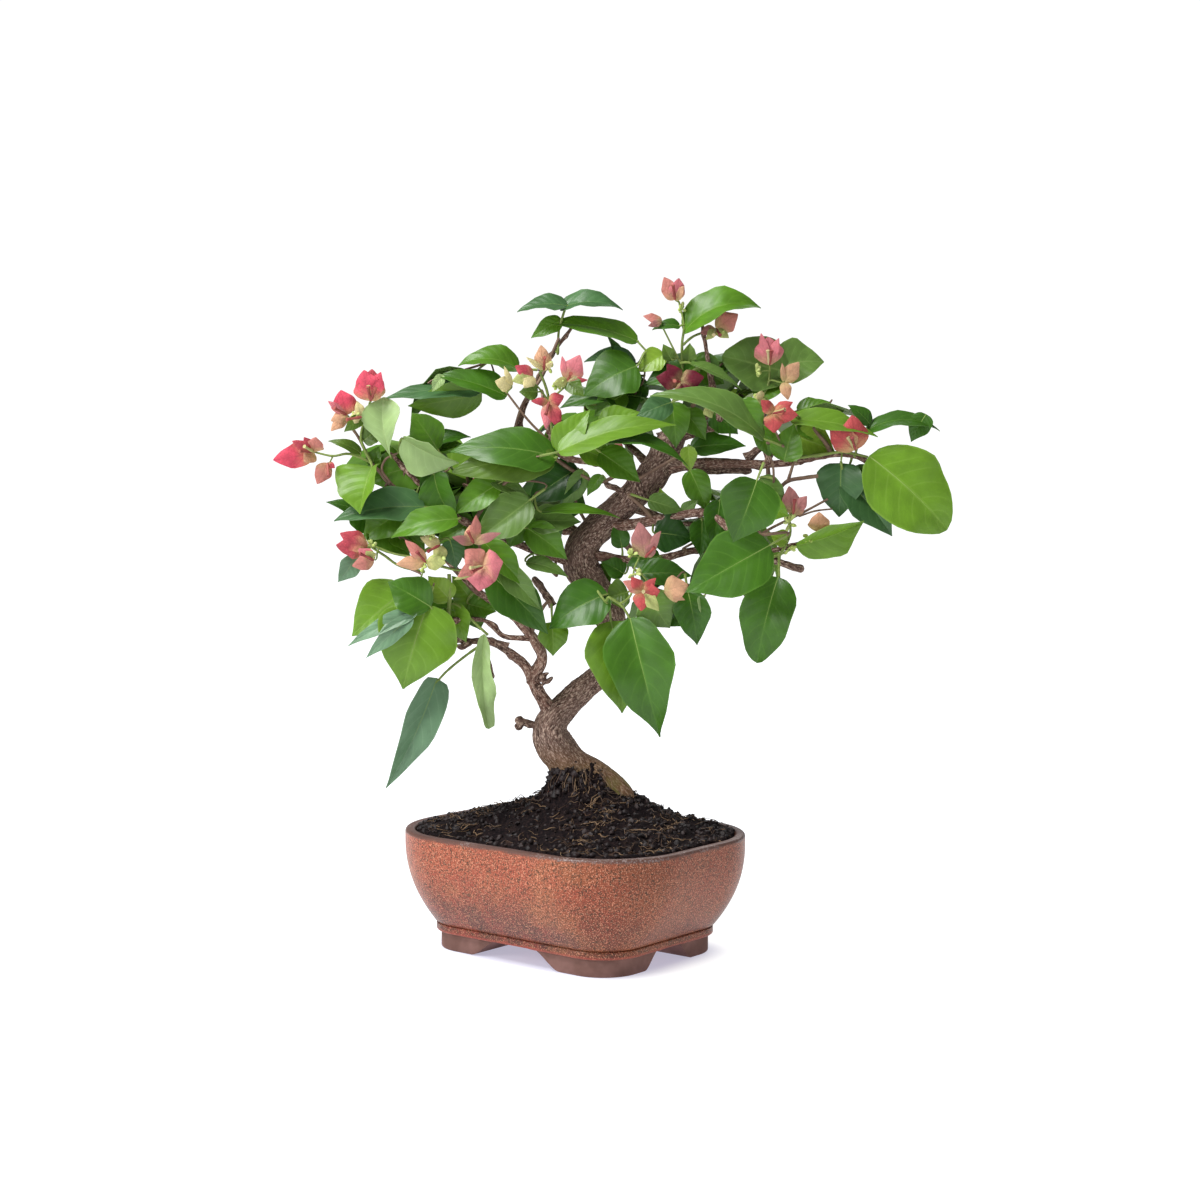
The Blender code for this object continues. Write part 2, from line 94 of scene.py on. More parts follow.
class Heap:
    # small shapes that are gathered into one mesh
    def __init__(self):
        self.points = []
        self.faces = []
        self.finishes = []
        self.grain = []

    def add(self, points, faces, finishes=0, grain=()):
        first = len(self.points)
        self.points.extend(tuple(point) for point in points)
        self.faces.extend(tuple(first + corner for corner in face) for face in faces)
        self.finishes.extend([finishes] * len(faces) if isinstance(finishes, int) else finishes)
        self.grain.extend(grain)


def makePiece(name, heap, materials, nodes=(), place=displayToModel, sharp=45):
    mesh = bpy.data.meshes.new(name)
    mesh.from_pydata(heap.points, [], heap.faces)
    for material in materials:
        mesh.materials.append(material)
    mesh.polygons.foreach_set("use_smooth", [True] * len(heap.faces))
    mesh.polygons.foreach_set("material_index", heap.finishes)
    if heap.grain:
        grain = mesh.attributes.new("grain", "FLOAT_VECTOR", "POINT")
        grain.data.foreach_set("vector", [value for spot in heap.grain for value in spot])
    mesh.transform(place)
    mesh.set_sharp_from_angle(angle=math.radians(sharp))
    piece = bpy.data.objects.new(name, mesh)
    bpy.context.scene.collection.objects.link(piece)
    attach(piece, "root")
    if nodes:
        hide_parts(*nodes)
    print(name, len(heap.faces), "faces")


class Flow:
    # a socket of a material's tree, on which sums are written as plain expressions
    def __init__(self, surface, socket):
        self.surface = surface
        self.socket = socket

    def sum(self, operation, one, two=0.0):
        return self.surface.node("ShaderNodeMath", {"operation": operation}, {0: one, 1: two})

    def __add__(self, other):
        return self.sum("ADD", self, other)

    __radd__ = __add__

    def __sub__(self, other):
        return self.sum("SUBTRACT", self, other)

    def __rsub__(self, other):
        return self.sum("SUBTRACT", other, self)

    def __mul__(self, other):
        return self.sum("MULTIPLY", self, other)

    def __truediv__(self, other):
        return self.sum("DIVIDE", self, other)

    def __pow__(self, other):
        return self.sum("POWER", self, other)

    def apart(self):
        return self.sum("ABSOLUTE", self)

    def over(self, other):
        return self.sum("MAXIMUM", self, other)

    def wave(self, half):
        # up and down between 0 and half
        return self.sum("PINGPONG", self, half)

    def step(self, low, high):
        # 0 below low and 1 above high, with a soft change between
        return self.surface.node("ShaderNodeMapRange", {"interpolation_type": "SMOOTHSTEP"},
                                 {"Value": self, "From Min": low, "From Max": high})


class Surface:
    # a material: one Principled shader, whose fixed values stand on its own sockets
    def __init__(self, name, fixed):
        self.material = bpy.data.materials.new(name)
        self.material.use_nodes = True
        self.tree = self.material.node_tree
        self.shader = self.tree.nodes["Principled BSDF"]
        for socket, value in fixed.items():
            self.shader.inputs[socket].default_value = value
        self.place = self.node("ShaderNodeTexCoord", out="Object")

    def node(self, kind, settings=None, sockets=None, out=0):
        made = self.tree.nodes.new(kind)
        for key, value in (settings or {}).items():
            setattr(made, key, value)
        for key, value in (sockets or {}).items():
            if isinstance(value, Flow):
                self.tree.links.new(value.socket, made.inputs[key])
            else:
                made.inputs[key].default_value = value
        return Flow(self, made.outputs[out])

    def grain(self):
        # each point's own place on its limb or blade
        return self.node("ShaderNodeAttribute", {"attribute_name": "grain"}, out="Vector")

    def split(self, flow):
        return [self.node("ShaderNodeSeparateXYZ", {}, {0: flow}, out=axis) for axis in "XYZ"]

    def cloud(self, size, detail=2.0, place=None, rough=0.5):
        # soft noise whose blotches are about this many millimetres across
        return self.node("ShaderNodeTexNoise", {},
                         {"Vector": place or self.place, "Scale": 1 / (size * mm), "Detail": detail,
                          "Roughness": rough})

    def mix(self, share, one, two):
        return self.node("ShaderNodeMix", {"data_type": "RGBA"}, {0: share, 6: one, 7: two}, out=2)

    def layers(self, colour, *coats):
        # each coat is a share and a colour, and lies over the ones before it
        for share, over in coats:
            colour = self.mix(share, colour, over)
        return colour

    def paint(self, socket, flow):
        self.tree.links.new(flow.socket, self.shader.inputs[socket])

    def relief(self, height, depth, strength=1.0):
        # height in 0 to 1, depth in millimetres
        sockets = {"Height": height, "Distance": depth * mm, "Strength": strength}
        self.paint("Normal", self.node("ShaderNodeBump", {}, sockets))

    def shineThrough(self, colour, share):
        # lets some light through a thin blade
        through = self.node("ShaderNodeBsdfTranslucent", {}, {"Color": colour})
        both = self.node("ShaderNodeMixShader", {}, {0: share, 2: through})
        self.tree.links.new(self.shader.outputs[0], both.socket.node.inputs[1])
        self.tree.links.new(both.socket, self.tree.nodes["Material Output"].inputs["Surface"])


def tone(red, green, blue):
    # a screen colour, 0 to 255, as light
    return tuple(((value / 255 + 0.055) / 1.055) ** 2.4 if value > 10 else value / 3294
                 for value in (red, green, blue)) + (1.0,)


def shade(colour, factor):
    return tuple(min(1, value * factor) for value in colour[:3]) + (1.0,)


# The camera stands in front of the display side
forward = Matrix.Rotation(azimuth, 3, "Z") @ Vector((0, math.cos(pitch), -math.sin(pitch)))
aim = displayToModel @ Vector((display["aimRight"], 0, display["aimUp"]))
camera = bpy.data.objects.new("display_camera", bpy.data.cameras.new("display_camera"))
camera.data.lens = display["lens"]
camera.data.sensor_width = display["film"]
camera.data.clip_end = 100
camera.location = aim - forward * display["distance"] * mm
camera.rotation_euler = forward.to_track_quat("-Z", "Y").to_euler()
bpy.context.scene.collection.objects.link(camera)
bpy.context.scene.camera = camera
print("camera")


# Limbs, as the part has them: bends (right, back, up), with the trunk's radius
trunkBends = [
    (11, 0, 88, 16), (-1, -1, 104, 11), (-14, -4, 128, 10), (2, 1, 147, 7.5), (24, 4, 168, 7),
    (18, 2, 198, 9), (3, 0, 226, 9.5), (22, 2, 250, 8), (43, 2, 270, 8.5), (54, 4, 290, 8.5),
    (64, 5, 304, 3.5),
]
# the roots that flare from its foot: bearing, how far they stand out, and how high they reach
roots = {
    "right": (-8, 12.5, 12.0), "front": (-100, 3.5, 13.0), "left": (160, 3.0, 13.0), "back": (80, 4.5, 13.0),
}
rootSpread = 1.3                # the higher, the narrower each root is
squareHeight = 13.0             # over the foot: up to here the trunk's rings turn from level to square
# where each bough springs from, how many bends along it, its bends, the middle of the spray that it
# ends in, and its radius at both ends
boughBends = {
    "left_low": ("trunk", 2.3, [(-21, -8, 151), (-29, -14, 167), (-50, -21, 180)], (-45, -26, 159),
                 4.5, 1.5),
    "left_fork": ("left_low", 1.4, [(-18, -13, 172), (-35, -15, 194), (-57, -19, 210)], (-79, -32, 237),
                  4, 1.5),
    "left_twig": ("left_fork", 1.4, [(-39, -17, 182), (-53, -22, 192)], (-91, -34, 190), 1.6, 1),
    "left_mid": ("trunk", 5.8, [(-29, -13, 233), (-66, -22, 250)], (-106, -12, 288), 3, 1.2),
    "left_high": ("trunk", 7.9, [(17, -8, 279), (-9, -14, 286)], (-18, -8, 321), 3, 1),
    "top_left": ("left_high", 1.7, [(-23, -1, 291), (-30, 5, 304), (-17, 9, 334)], (1, 8, 359), 1.6, 1),
    "top": ("trunk", 9.3, [(82, 0, 303), (78, 2, 327)], (73, 5, 358), 4, 1),
    "right_high": ("trunk", 8.3, [(75, -2, 279), (115, -7, 279), (156, -9, 284)], (187, -14, 266), 5.5, 1.2),
    "right_shoot": ("right_high", 1.9, [(107, -5, 300)], (111, 12, 337), 2, 1.2),
    "right_mid": ("trunk", 6.7, [(41, -8, 246), (74, -19, 252)], (89, -32, 240), 4, 1.8),
    "right_low": ("trunk", 6.1, [(40, -5, 224), (74, -11, 231), (105, -11, 229)], (139, -12, 237), 3.5, 1.3),
    "back_left": ("trunk", 6.5, [(-17, 28, 243)], (-72, 46, 257), 3, 1.5),
    "back_mid": ("trunk", 6.0, [(0, 30, 236)], (-9, 66, 244), 3, 1.5),
    "back_centre": ("trunk", 8.2, [(36, 30, 285)], (18, 54, 301), 3, 1.5),
    "back_right": ("trunk", 7.3, [(52, 26, 247)], (90, 50, 239), 3, 1.5),
    "back_high": ("trunk", 9.4, [(80, 30, 308)], (107, 60, 320), 3, 1.5),
    "back_low": ("trunk", 6.8, [(33, 25, 228)], (48, 54, 203), 3, 1.5),
}
curveSteps = 8


def smoothPath(bends, steps=curveSteps):
    # points along a smooth curve (Catmull-Rom) that runs through the bends
    bends = [Vector(bend) for bend in bends]
    path = []
    for i in range(len(bends) - 1):
        before, start = bends[max(i - 1, 0)], bends[i]
        end, after = bends[i + 1], bends[min(i + 2, len(bends) - 1)]
        for step in range(steps):
            t = step / steps
            path.append((start * 2 + (end - before) * t
                         + (before * 2 - start * 5 + end * 4 - after) * t ** 2
                         + (start * 3 - before - end * 3 + after) * t ** 3) / 2)
    path.append(bends[-1])
    return path


def tapered(spots, thick, thin):
    # each place with a radius, from thick to thin
    last = len(spots) - 1
    return [(*spot, thick + (thin - thick) * i / last) for i, spot in enumerate(spots)]


def limbRoutes():
    routes = {"trunk": smoothPath(trunkBends)}
    for name, (source, along, bends, end, thick, thin) in boughBends.items():
        place = along * curveSteps
        low = int(place)
        start = routes[source][low].lerp(routes[source][low + 1], place - low)
        routes[name] = smoothPath(tapered([start[:3], *bends, end], thick, thin))
    return routes


def evenly(path, spacing):
    # the same path with points at an even spacing, each with its radius and its length from the start
    lengths = [0.0]
    for one, two in zip(path, path[1:]):
        lengths.append(lengths[-1] + (two.to_3d() - one.to_3d()).length)
    count = max(2, round(lengths[-1] / spacing))
    spots = []
    i = 0
    for k in range(count + 1):
        want = lengths[-1] * k / count
        while i < len(lengths) - 2 and lengths[i + 1] < want:
            i += 1
        share = (want - lengths[i]) / max(lengths[i + 1] - lengths[i], 1e-6)
        spot = path[i].lerp(path[i + 1], share)
        spots.append((spot.to_3d(), spot[3], want))
    return spots


def ringFrames(spots):
    # two directions across the path at each point, turned as little as possible from one to the next
    frames = []
    across = None
    for i, spot in enumerate(spots):
        along = (spots[min(i + 1, len(spots) - 1)] - spots[max(i - 1, 0)]).normalized()
        if across is None:
            across = along.orthogonal().normalized()
        across = (across - along * across.dot(along)).normalized()
        frames.append((along, across, along.cross(across)))
    return frames


def tubeFaces(rings, sides):
    # walls of a tube and its two ends
    faces = []
    for i in range(rings - 1):
        for j in range(sides):
            k = (j + 1) % sides
            faces.append((i * sides + j, i * sides + k, (i + 1) * sides + k, (i + 1) * sides + j))
    faces.append(tuple(reversed(range(sides))))
    faces.append(tuple(range((rings - 1) * sides, rings * sides)))
    return faces


def tubeHeap(points, rings, sides, grain=()):
    heap = Heap()
    heap.add(points, tubeFaces(rings, sides), 0, grain)
    return heap


def addTube(heap, spots, radii, sides=6, finish=0):
    spots = [Vector(spot) for spot in spots]
    points = []
    for spot, radius, (along, across, third) in zip(spots, radii, ringFrames(spots)):
        for j in range(sides):
            angle = math.tau * j / sides
            points.append(spot + (across * math.cos(angle) + third * math.sin(angle)) * radius)
    heap.add(points, tubeFaces(len(spots), sides), finish)


def arc(start, leave, end, arrive, bow=0.35, steps=6):
    # a curve that leaves and arrives along the given directions
    reach = (end - start).length * bow
    one, two = start + leave * reach, end - arrive * reach
    spots = []
    for i in range(steps + 1):
        t = i / steps
        spots.append(start * (1 - t) ** 3 + one * 3 * t * (1 - t) ** 2
                     + two * 3 * t * t * (1 - t) + end * t ** 3)
    return spots


wood = []                       # (place, direction, radius) all along the limbs and twigs


def addWood(spots, radii):
    for i, (spot, radius) in enumerate(zip(spots, radii)):
        along = (spots[min(i + 1, len(spots) - 1)] - spots[max(i - 1, 0)]).normalized()
        wood.append((spot, along, radius))


# Bark: long ridges that break up along the limb, lumps, buds, and a few scars
bark = dict(sides=110, spacing=0.8, ridge=1.5, ridgeLong=5.5, ridgeDepth=0.3, crack=0.7, crackLong=2.2,
            crackDepth=0.22, lump=9, lumpDepth=1.1, winding=0.012, oval=0.07, trunkTip=3, ahead=9,
            soften=40, footRings=(18, 15, 12, 9, 6, 4, 2), footFlare=0.1)
bough = dict(sides=26, spacing=1.1, taper=1.6, tip=2, swell=0.35, budEvery=9, stubSides=16, stubSpacing=0.7,
             stubBuds=4)
scars = [                       # on the trunk: bearing in degrees, height, size, how far it stands out
    dict(bearing=-12, up=219, size=5.2, out=2.6), dict(bearing=-14, up=219, size=2.6, out=-4.2),
    dict(bearing=-60, up=262, size=4.2, out=1.6), dict(bearing=178, up=121, size=5.0, out=1.5),
    dict(bearing=-140, up=206, size=4.0, out=1.3), dict(bearing=-80, up=113, size=5.5, out=1.2),
    dict(bearing=-50, up=177, size=3.6, out=1.3), dict(bearing=170, up=245, size=3.6, out=1.2),
]


def turned(angle):
    # the same turn, between half a turn back and half a turn on
    return (angle + math.pi) % math.tau - math.pi


def bell(distance):
    return math.exp(-distance * distance)


def barkNoise(x, y, along, wide, long, shift):
    return noise.noise(Vector((x / wide, y / wide, along / long + shift)))


def barkHeight(angle, along, radius, seed, depth):
    turn = angle + along * bark["winding"]
    x, y = math.cos(turn) * radius, math.sin(turn) * radius
    ridge = 1 - 2 * abs(barkNoise(x, y, along, bark["ridge"], bark["ridgeLong"], seed))
    crack = barkNoise(x, y, along, bark["crack"], bark["crackLong"], seed * 3)
    lump = barkNoise(x, y, along, bark["lump"], bark["lump"], seed * 5)
    height = bark["ridgeDepth"] * (ridge - 0.5) + bark["crackDepth"] * crack + bark["lumpDepth"] * lump
    return height * depth


def knotHeight(across, along, knot):
    # how far a scar or bud stands out, so far from its middle
    return knot["out"] * bell(math.hypot(across, along) / knot["size"])


def grainAt(angle, radius, length):
    return math.cos(angle) * radius * mm, math.sin(angle) * radius * mm, length * mm


def trunkMesh(path):
    sides = bark["sides"]
    spots = evenly(path, bark["spacing"])
    foot, footRadius = spots[0][:2]
    spots = [(foot - Vector((0, 0, deep)), footRadius + deep * bark["footFlare"], -deep)
             for deep in bark["footRings"]] + spots
    base, outward, bumps, grain = [], [], [], []
    for i, (centre, radius, length) in enumerate(spots):
        ahead = spots[min(i + bark["ahead"], len(spots) - 1)][0] - spots[max(i - bark["ahead"], 0)][0]
        above = centre.z - trunkBends[0][2]
        along = ahead.normalized().lerp(Vector((0, 0, 1)), max(0, 1 - above / squareHeight)).normalized()
        back = (Vector((0, 1, 0)) - along * along.y).normalized()
        right = back.cross(along)
        rounded = 1 - 0.5 * max(0, 1 - (spots[-1][2] - length) / bark["trunkTip"]) ** 3
        for side in range(sides):
            angle = math.tau * side / sides
            reach = radius * (1 + bark["oval"] * math.sin(3 * angle + centre.z * 0.05))
            for bearing, stretch, high in roots.values():
                near = turned(angle - math.radians(bearing))
                reach += bell(max(0, above) / high) * stretch * bell(near * rootSpread)
            bump = barkHeight(angle, length, radius, 0, 1)
            for scar in scars:
                near = turned(angle - math.radians(scar["bearing"]))
                bump += knotHeight(near * radius, centre.z - scar["up"], scar)
            way = right * math.cos(angle) + back * math.sin(angle)
            base.append(centre + way * reach * rounded)
            outward.append(way)
            bumps.append(bump * rounded)
            grain.append(grainAt(angle, radius, length))
    # the trunk's own bends are softened, and only then does the bark's relief go on
    base = np.array(base).reshape(len(spots), sides, 3)
    for turn in range(bark["soften"]):
        base[1:-1] = (base[:-2] + base[1:-1] * 2 + base[2:]) / 4
    points = base.reshape(-1, 3) + np.array(outward) * np.array(bumps)[:, None]
    return tubeHeap(points.tolist(), len(spots), sides, grain)


slimBoughs = {"right_high": 0.72, "right_low": 0.85, "left_fork": 0.9}


def boughMesh(path, seed, sides=bough["sides"], spacing=bough["spacing"], extraBuds=0, slim=1.0):
    spots = evenly(path, spacing)
    frames = ringFrames([spot for spot, radius, length in spots])
    whole = spots[-1][2]
    roll = random.Random(seed)
    buds = [dict(at=roll.uniform(0.12, 0.95) * whole, bearing=roll.uniform(0, math.tau),
                 size=roll.uniform(1.2, 2.4), out=roll.uniform(0.4, 1.1))
            for bud in range(round(whole / bough["budEvery"]) + extraBuds)]
    thick, thin = spots[0][1] * slim, spots[-1][1]
    points, grain = [], []
    for (centre, radius, length), (along, across, third) in zip(spots, frames):
        radius = thin + (thick - thin) * (1 - length / whole) ** bough["taper"]
        rounded = 1 - 0.6 * max(0, 1 - (whole - length) / bough["tip"]) ** 3
        swell = 1 + bough["swell"] * math.exp(-length / radius / 1.5)
        for side in range(sides):
            angle = math.tau * side / sides
            reach = radius * swell + barkHeight(angle, length, radius, seed, min(1, 0.25 + radius / 8))
            for bud in buds:
                reach += knotHeight(turned(angle - bud["bearing"]) * radius, length - bud["at"], bud)
            reach *= rounded
            points.append(centre + (across * math.cos(angle) + third * math.sin(angle)) * reach)
            grain.append(grainAt(angle, radius, length))
    return tubeHeap(points, len(spots), sides, grain)


def barkSurface(name, dark, light, moss=0.0):
    surface = Surface(name, {"Roughness": 0.85, "Specular IOR Level": 0.25})
    stretched = surface.node("ShaderNodeMapping", {}, {"Vector": surface.grain(), "Scale": (1, 1, 0.42)})
    fissure = surface.cloud(1.5, detail=4, place=stretched, rough=0.65)
    fleck = surface.cloud(0.8, detail=3, place=stretched, rough=0.7)
    patch = surface.cloud(14, detail=3)
    height = surface.split(surface.place)[2]
    colour = surface.layers(
        surface.mix(fissure.step(0.34, 0.6), dark, light),
        (fleck.step(0.52, 0.6) * 0.85, tone(204, 178, 160)),
        ((1 - fleck.step(0.34, 0.45)) * 0.75, shade(dark, 0.5)),
        (patch.step(0.42, 0.7) * 0.5, shade(light, 0.6)),
        # painted shade: from 0.15 m up, within the crown, the bark is darker
        (height.step(0.15, 0.27) * 0.2, shade(dark, 0.9)))
    if moss:
        low = 1 - height.step(0.09, 0.112)
        colour = surface.layers(
            colour,
            ((1 - height.step(0.1, 0.125)) * 0.5, tone(128, 92, 54)),
            (low * patch.step(0.4, 0.56) * moss, tone(104, 100, 48)))
    surface.paint("Base Color", colour)
    surface.relief(fissure * 0.6 + fleck * 0.4, depth=0.6, strength=0.95)
    return surface.material


routes = limbRoutes()
trunkBark = barkSurface("trunk_bark", tone(62, 43, 36), tone(130, 103, 91), moss=0.8)
boughBark = barkSurface("bough_bark", tone(72, 48, 40), tone(138, 104, 90))
makePiece("trunk_bark", trunkMesh(routes["trunk"]), [trunkBark], ["trunk"], sharp=180)
for number, name in enumerate(boughBends):
    limb = boughMesh(routes[name], number + 1, slim=slimBoughs.get(name, 1.0))
    makePiece(name + "_bark", limb, [boughBark], ["bough_" + name], sharp=180)
for name, route in routes.items():
    spots = evenly(route, spacing=4)
    spots = spots[8:] if name == "trunk" else spots[2:]
    addWood([spot for spot, radius, length in spots], [radius for spot, radius, length in spots])
print("trunk and boughs")


# Twigs and cut stubs of the display side: dots of the view that they run through, how far behind the
# pot's middle, and the radius at both ends. Green ones are this year's shoots.
stubs = [
    dict(run=[(545, 727), (530, 724), (515, 719)], back=-4, thick=(2.5, 2.0)),
    dict(run=[(524, 722), (519, 727), (517, 730)], back=-5, thick=(1.4, 1.2)),
    dict(run=[(490, 668), (480, 660)], back=-20, thick=(1.3, 1.6)),
    dict(run=[(538, 690), (543, 684), (547, 681), (553, 677)], back=-13, thick=(0.9, 0.8)),
    dict(run=[(541, 682), (545, 675), (549, 673)], back=-14, thick=(0.8, 0.7)),
    dict(run=[(553, 606), (543, 590), (533, 577)], back=-13, thick=(1.9, 1.9)),
    dict(run=[(508, 648), (488, 641), (470, 641), (452, 638)], back=-18, thick=(2.4, 1.5)),
    dict(run=[(470, 642), (462, 647), (457, 645)], back=-19, thick=(1.4, 1.2)),
    dict(run=[(464, 640), (458, 633), (454, 634)], back=-19, thick=(1.3, 1.0)),
    dict(run=[(660, 440), (676, 430), (688, 417)], back=4, thick=(3.4, 2.6)),
    dict(run=[(745, 458), (756, 452), (762, 447)], back=-3, thick=(2.4, 1.6)),
    dict(run=[(668, 462), (705, 470), (752, 471)], back=-1, thick=(2.6, 1.6)),
    dict(run=[(760, 556), (782, 563), (804, 570)], back=-12, thick=(2.2, 1.9)),
    dict(run=[(566, 620), (580, 616), (598, 622)], back=6, thick=(1.0, 1.4)),
    dict(run=[(640, 500), (636, 480), (622, 466)], back=-4, thick=(5.0, 3.6)),
    dict(run=[(624, 492), (612, 487), (604, 482)], back=-4, thick=(1.6, 1.0)),
]
twigs = [
    dict(run=[(428, 512), (405, 495), (388, 482), (380, 472), (371, 462), (360, 440), (352, 428)], back=-17,
         thick=(1.5, 0.8)),
    dict(run=[(406, 497), (404, 480), (405, 463)], back=-15, thick=(0.7, 0.6)),
    dict(run=[(372, 463), (350, 454), (333, 456), (318, 453)], back=-18, thick=(0.8, 0.6), green=True),
    dict(run=[(333, 456), (329, 464)], back=-18, thick=(0.5, 0.4), green=True),
    dict(run=[(371, 462), (361, 440), (364, 422), (370, 402)], back=-19, thick=(0.8, 0.6), green=True),
    dict(run=[(390, 482), (382, 470), (386, 459), (398, 453)], back=-19, thick=(0.8, 0.6)),
    dict(run=[(516, 426), (524, 402), (540, 380), (553, 352), (559, 338)], back=2, thick=(1.2, 0.9)),
    dict(run=[(558, 352), (559, 330), (566, 306)], back=6, thick=(0.9, 0.7), green=True),
    dict(run=[(548, 440), (528, 420), (507, 393)], back=-14, thick=(1.0, 0.6)),
    dict(run=[(555, 458), (552, 430), (548, 395), (540, 372)], back=-16, thick=(1.4, 0.7), green=True),
    dict(run=[(550, 400), (566, 386), (574, 380)], back=-16, thick=(0.6, 0.5), green=True),
    dict(run=[(549, 402), (536, 385), (522, 380)], back=-16, thick=(0.6, 0.5), green=True),
    dict(run=[(555, 458), (572, 470), (600, 482), (624, 470)], back=-10, thick=(1.2, 1.2)),
    dict(run=[(640, 478), (668, 462), (690, 450)], back=-10, thick=(1.0, 1.0)),
    dict(run=[(555, 575), (543, 562), (532, 548)], back=-14, thick=(0.9, 0.6)),
    dict(run=[(587, 524), (577, 506), (574, 492)], back=6, thick=(1.2, 0.8)),
    dict(run=[(683, 372), (682, 345), (684, 325), (679, 302)], back=4, thick=(1.3, 0.6), green=True),
    dict(run=[(680, 362), (673, 348), (661, 324)], back=2, thick=(0.8, 0.5), green=True),
    dict(run=[(680, 366), (655, 358), (638, 342)], back=6, thick=(0.8, 0.6), green=True),
    dict(run=[(683, 345), (694, 336), (712, 330)], back=4, thick=(0.8, 0.6), green=True),
    dict(run=[(752, 420), (758, 404), (768, 385), (770, 364)], back=0, thick=(0.9, 0.6), green=True),
    dict(run=[(768, 462), (776, 440), (762, 400)], back=-4, thick=(1.2, 0.7)),
    dict(run=[(796, 458), (826, 454), (844, 452), (868, 457)], back=-14, thick=(1.3, 0.7), green=True),
    dict(run=[(855, 455), (860, 440), (868, 429)], back=-12, thick=(0.8, 0.7), green=True),
    dict(run=[(842, 453), (841, 462)], back=-12, thick=(0.7, 0.6), green=True),
    dict(run=[(768, 500), (778, 490), (788, 481), (803, 478), (818, 476)], back=-14, thick=(1.3, 1.2)),
    dict(run=[(788, 481), (792, 468), (796, 456)], back=-14, thick=(1.0, 0.7)),
    dict(run=[(748, 545), (768, 530), (800, 514), (828, 499)], back=-12, thick=(1.3, 0.7)),
    dict(run=[(800, 516), (815, 511), (832, 509)], back=-13, thick=(0.7, 0.5)),
    dict(run=[(742, 512), (752, 522), (761, 534)], back=-14, thick=(0.8, 0.7)),
    dict(run=[(760, 560), (776, 556), (796, 547)], back=-14, thick=(1.2, 0.7), green=True),
    dict(run=[(780, 555), (790, 535), (789, 515)], back=-15, thick=(0.9, 0.6), green=True),
    dict(run=[(779, 556), (779, 578)], back=-17, thick=(0.9, 0.8), green=True),
    dict(run=[(684, 548), (700, 540), (716, 536)], back=-12, thick=(0.9, 0.6)),
    dict(run=[(604, 600), (609, 607), (611, 622)], back=-28, thick=(0.8, 0.7), green=True),
    dict(run=[(610, 598), (622, 606), (630, 619)], back=-33, thick=(0.8, 0.7), green=True),
    dict(run=[(632, 590), (634, 570), (640, 556)], back=-28, thick=(0.8, 0.5), green=True),
    dict(run=[(640, 572), (652, 586), (664, 591)], back=-28, thick=(0.6, 0.5), green=True),
    dict(run=[(449, 608), (450, 592), (449, 574)], back=-30, thick=(1.3, 1.1), green=True),
    dict(run=[(420, 560), (440, 566), (460, 570), (484, 566)], back=-34, thick=(1.0, 0.7), green=True),
    dict(run=[(370, 546), (385, 556), (400, 566), (425, 572)], back=-30, thick=(0.6, 0.8), green=True),
    dict(run=[(482, 644), (464, 657), (447, 671), (436, 683)], back=-24, thick=(0.8, 0.7), green=True),
    dict(run=[(462, 608), (472, 620), (488, 635)], back=-27, thick=(0.8, 0.8), green=True),
    dict(run=[(415, 501), (419, 487), (428, 478)], back=-19, thick=(0.6, 0.6), green=True),
]

twigHeap, shootHeap, stubHeap = Heap(), Heap(), Heap()


def addTwig(run, back, thick, green=False):
    # a twig through dots of the view, which first comes over from the nearest limb
    spots = [atView(x, y, back) for x, y in run]
    source, along, radius = min(wood, key=lambda place: (place[0] - spots[0]).length_squared)
    away = spots[0] - source
    if away.length > radius + 0.5:
        leave = (away.normalized() + along * 0.5).normalized()
        spots = arc(source, leave, spots[0], (spots[1] - spots[0]).normalized(), steps=3)[:-1] + spots
    path = smoothPath(tapered(spots, *thick), steps=5)
    places = [spot.to_3d() for spot in path]
    radii = [spot[3] * (1 + 0.16 * noise.noise(spot.to_3d() * 0.45)) for spot in path]
    addTube(shootHeap if green else twigHeap, places, radii, sides=8)
    addWood(places, radii)


for number, stub in enumerate(stubs):
    spots = [atView(x, y, stub["back"]) for x, y in stub["run"]]
    part = boughMesh(smoothPath(tapered(spots, *stub["thick"])), number + 40, bough["stubSides"],
                     bough["stubSpacing"], bough["stubBuds"])
    stubHeap.add(part.points, part.faces, 0, part.grain)
for twig in twigs:
    addTwig(**twig)
print("twigs and stubs")

# Blades: leaves and bracts. A blade runs from its foot to its tip, as a grid that is folded along the
# middle, arched from end to end and wavy at its margins. Single leaves have a finer grid than grown ones.
fineGrid = dict(stations=(0, 0.02, 0.06, 0.12, 0.19, 0.27, 0.35, 0.44, 0.53, 0.62, 0.71, 0.79, 0.86, 0.92,
                          0.97, 1),
                columns=(-1, -0.78, -0.52, -0.25, 0, 0.25, 0.52, 0.78, 1))
plainGrid = dict(stations=(0, 0.06, 0.17, 0.32, 0.5, 0.68, 0.85, 1), columns=(-1, -0.55, 0, 0.55, 1))


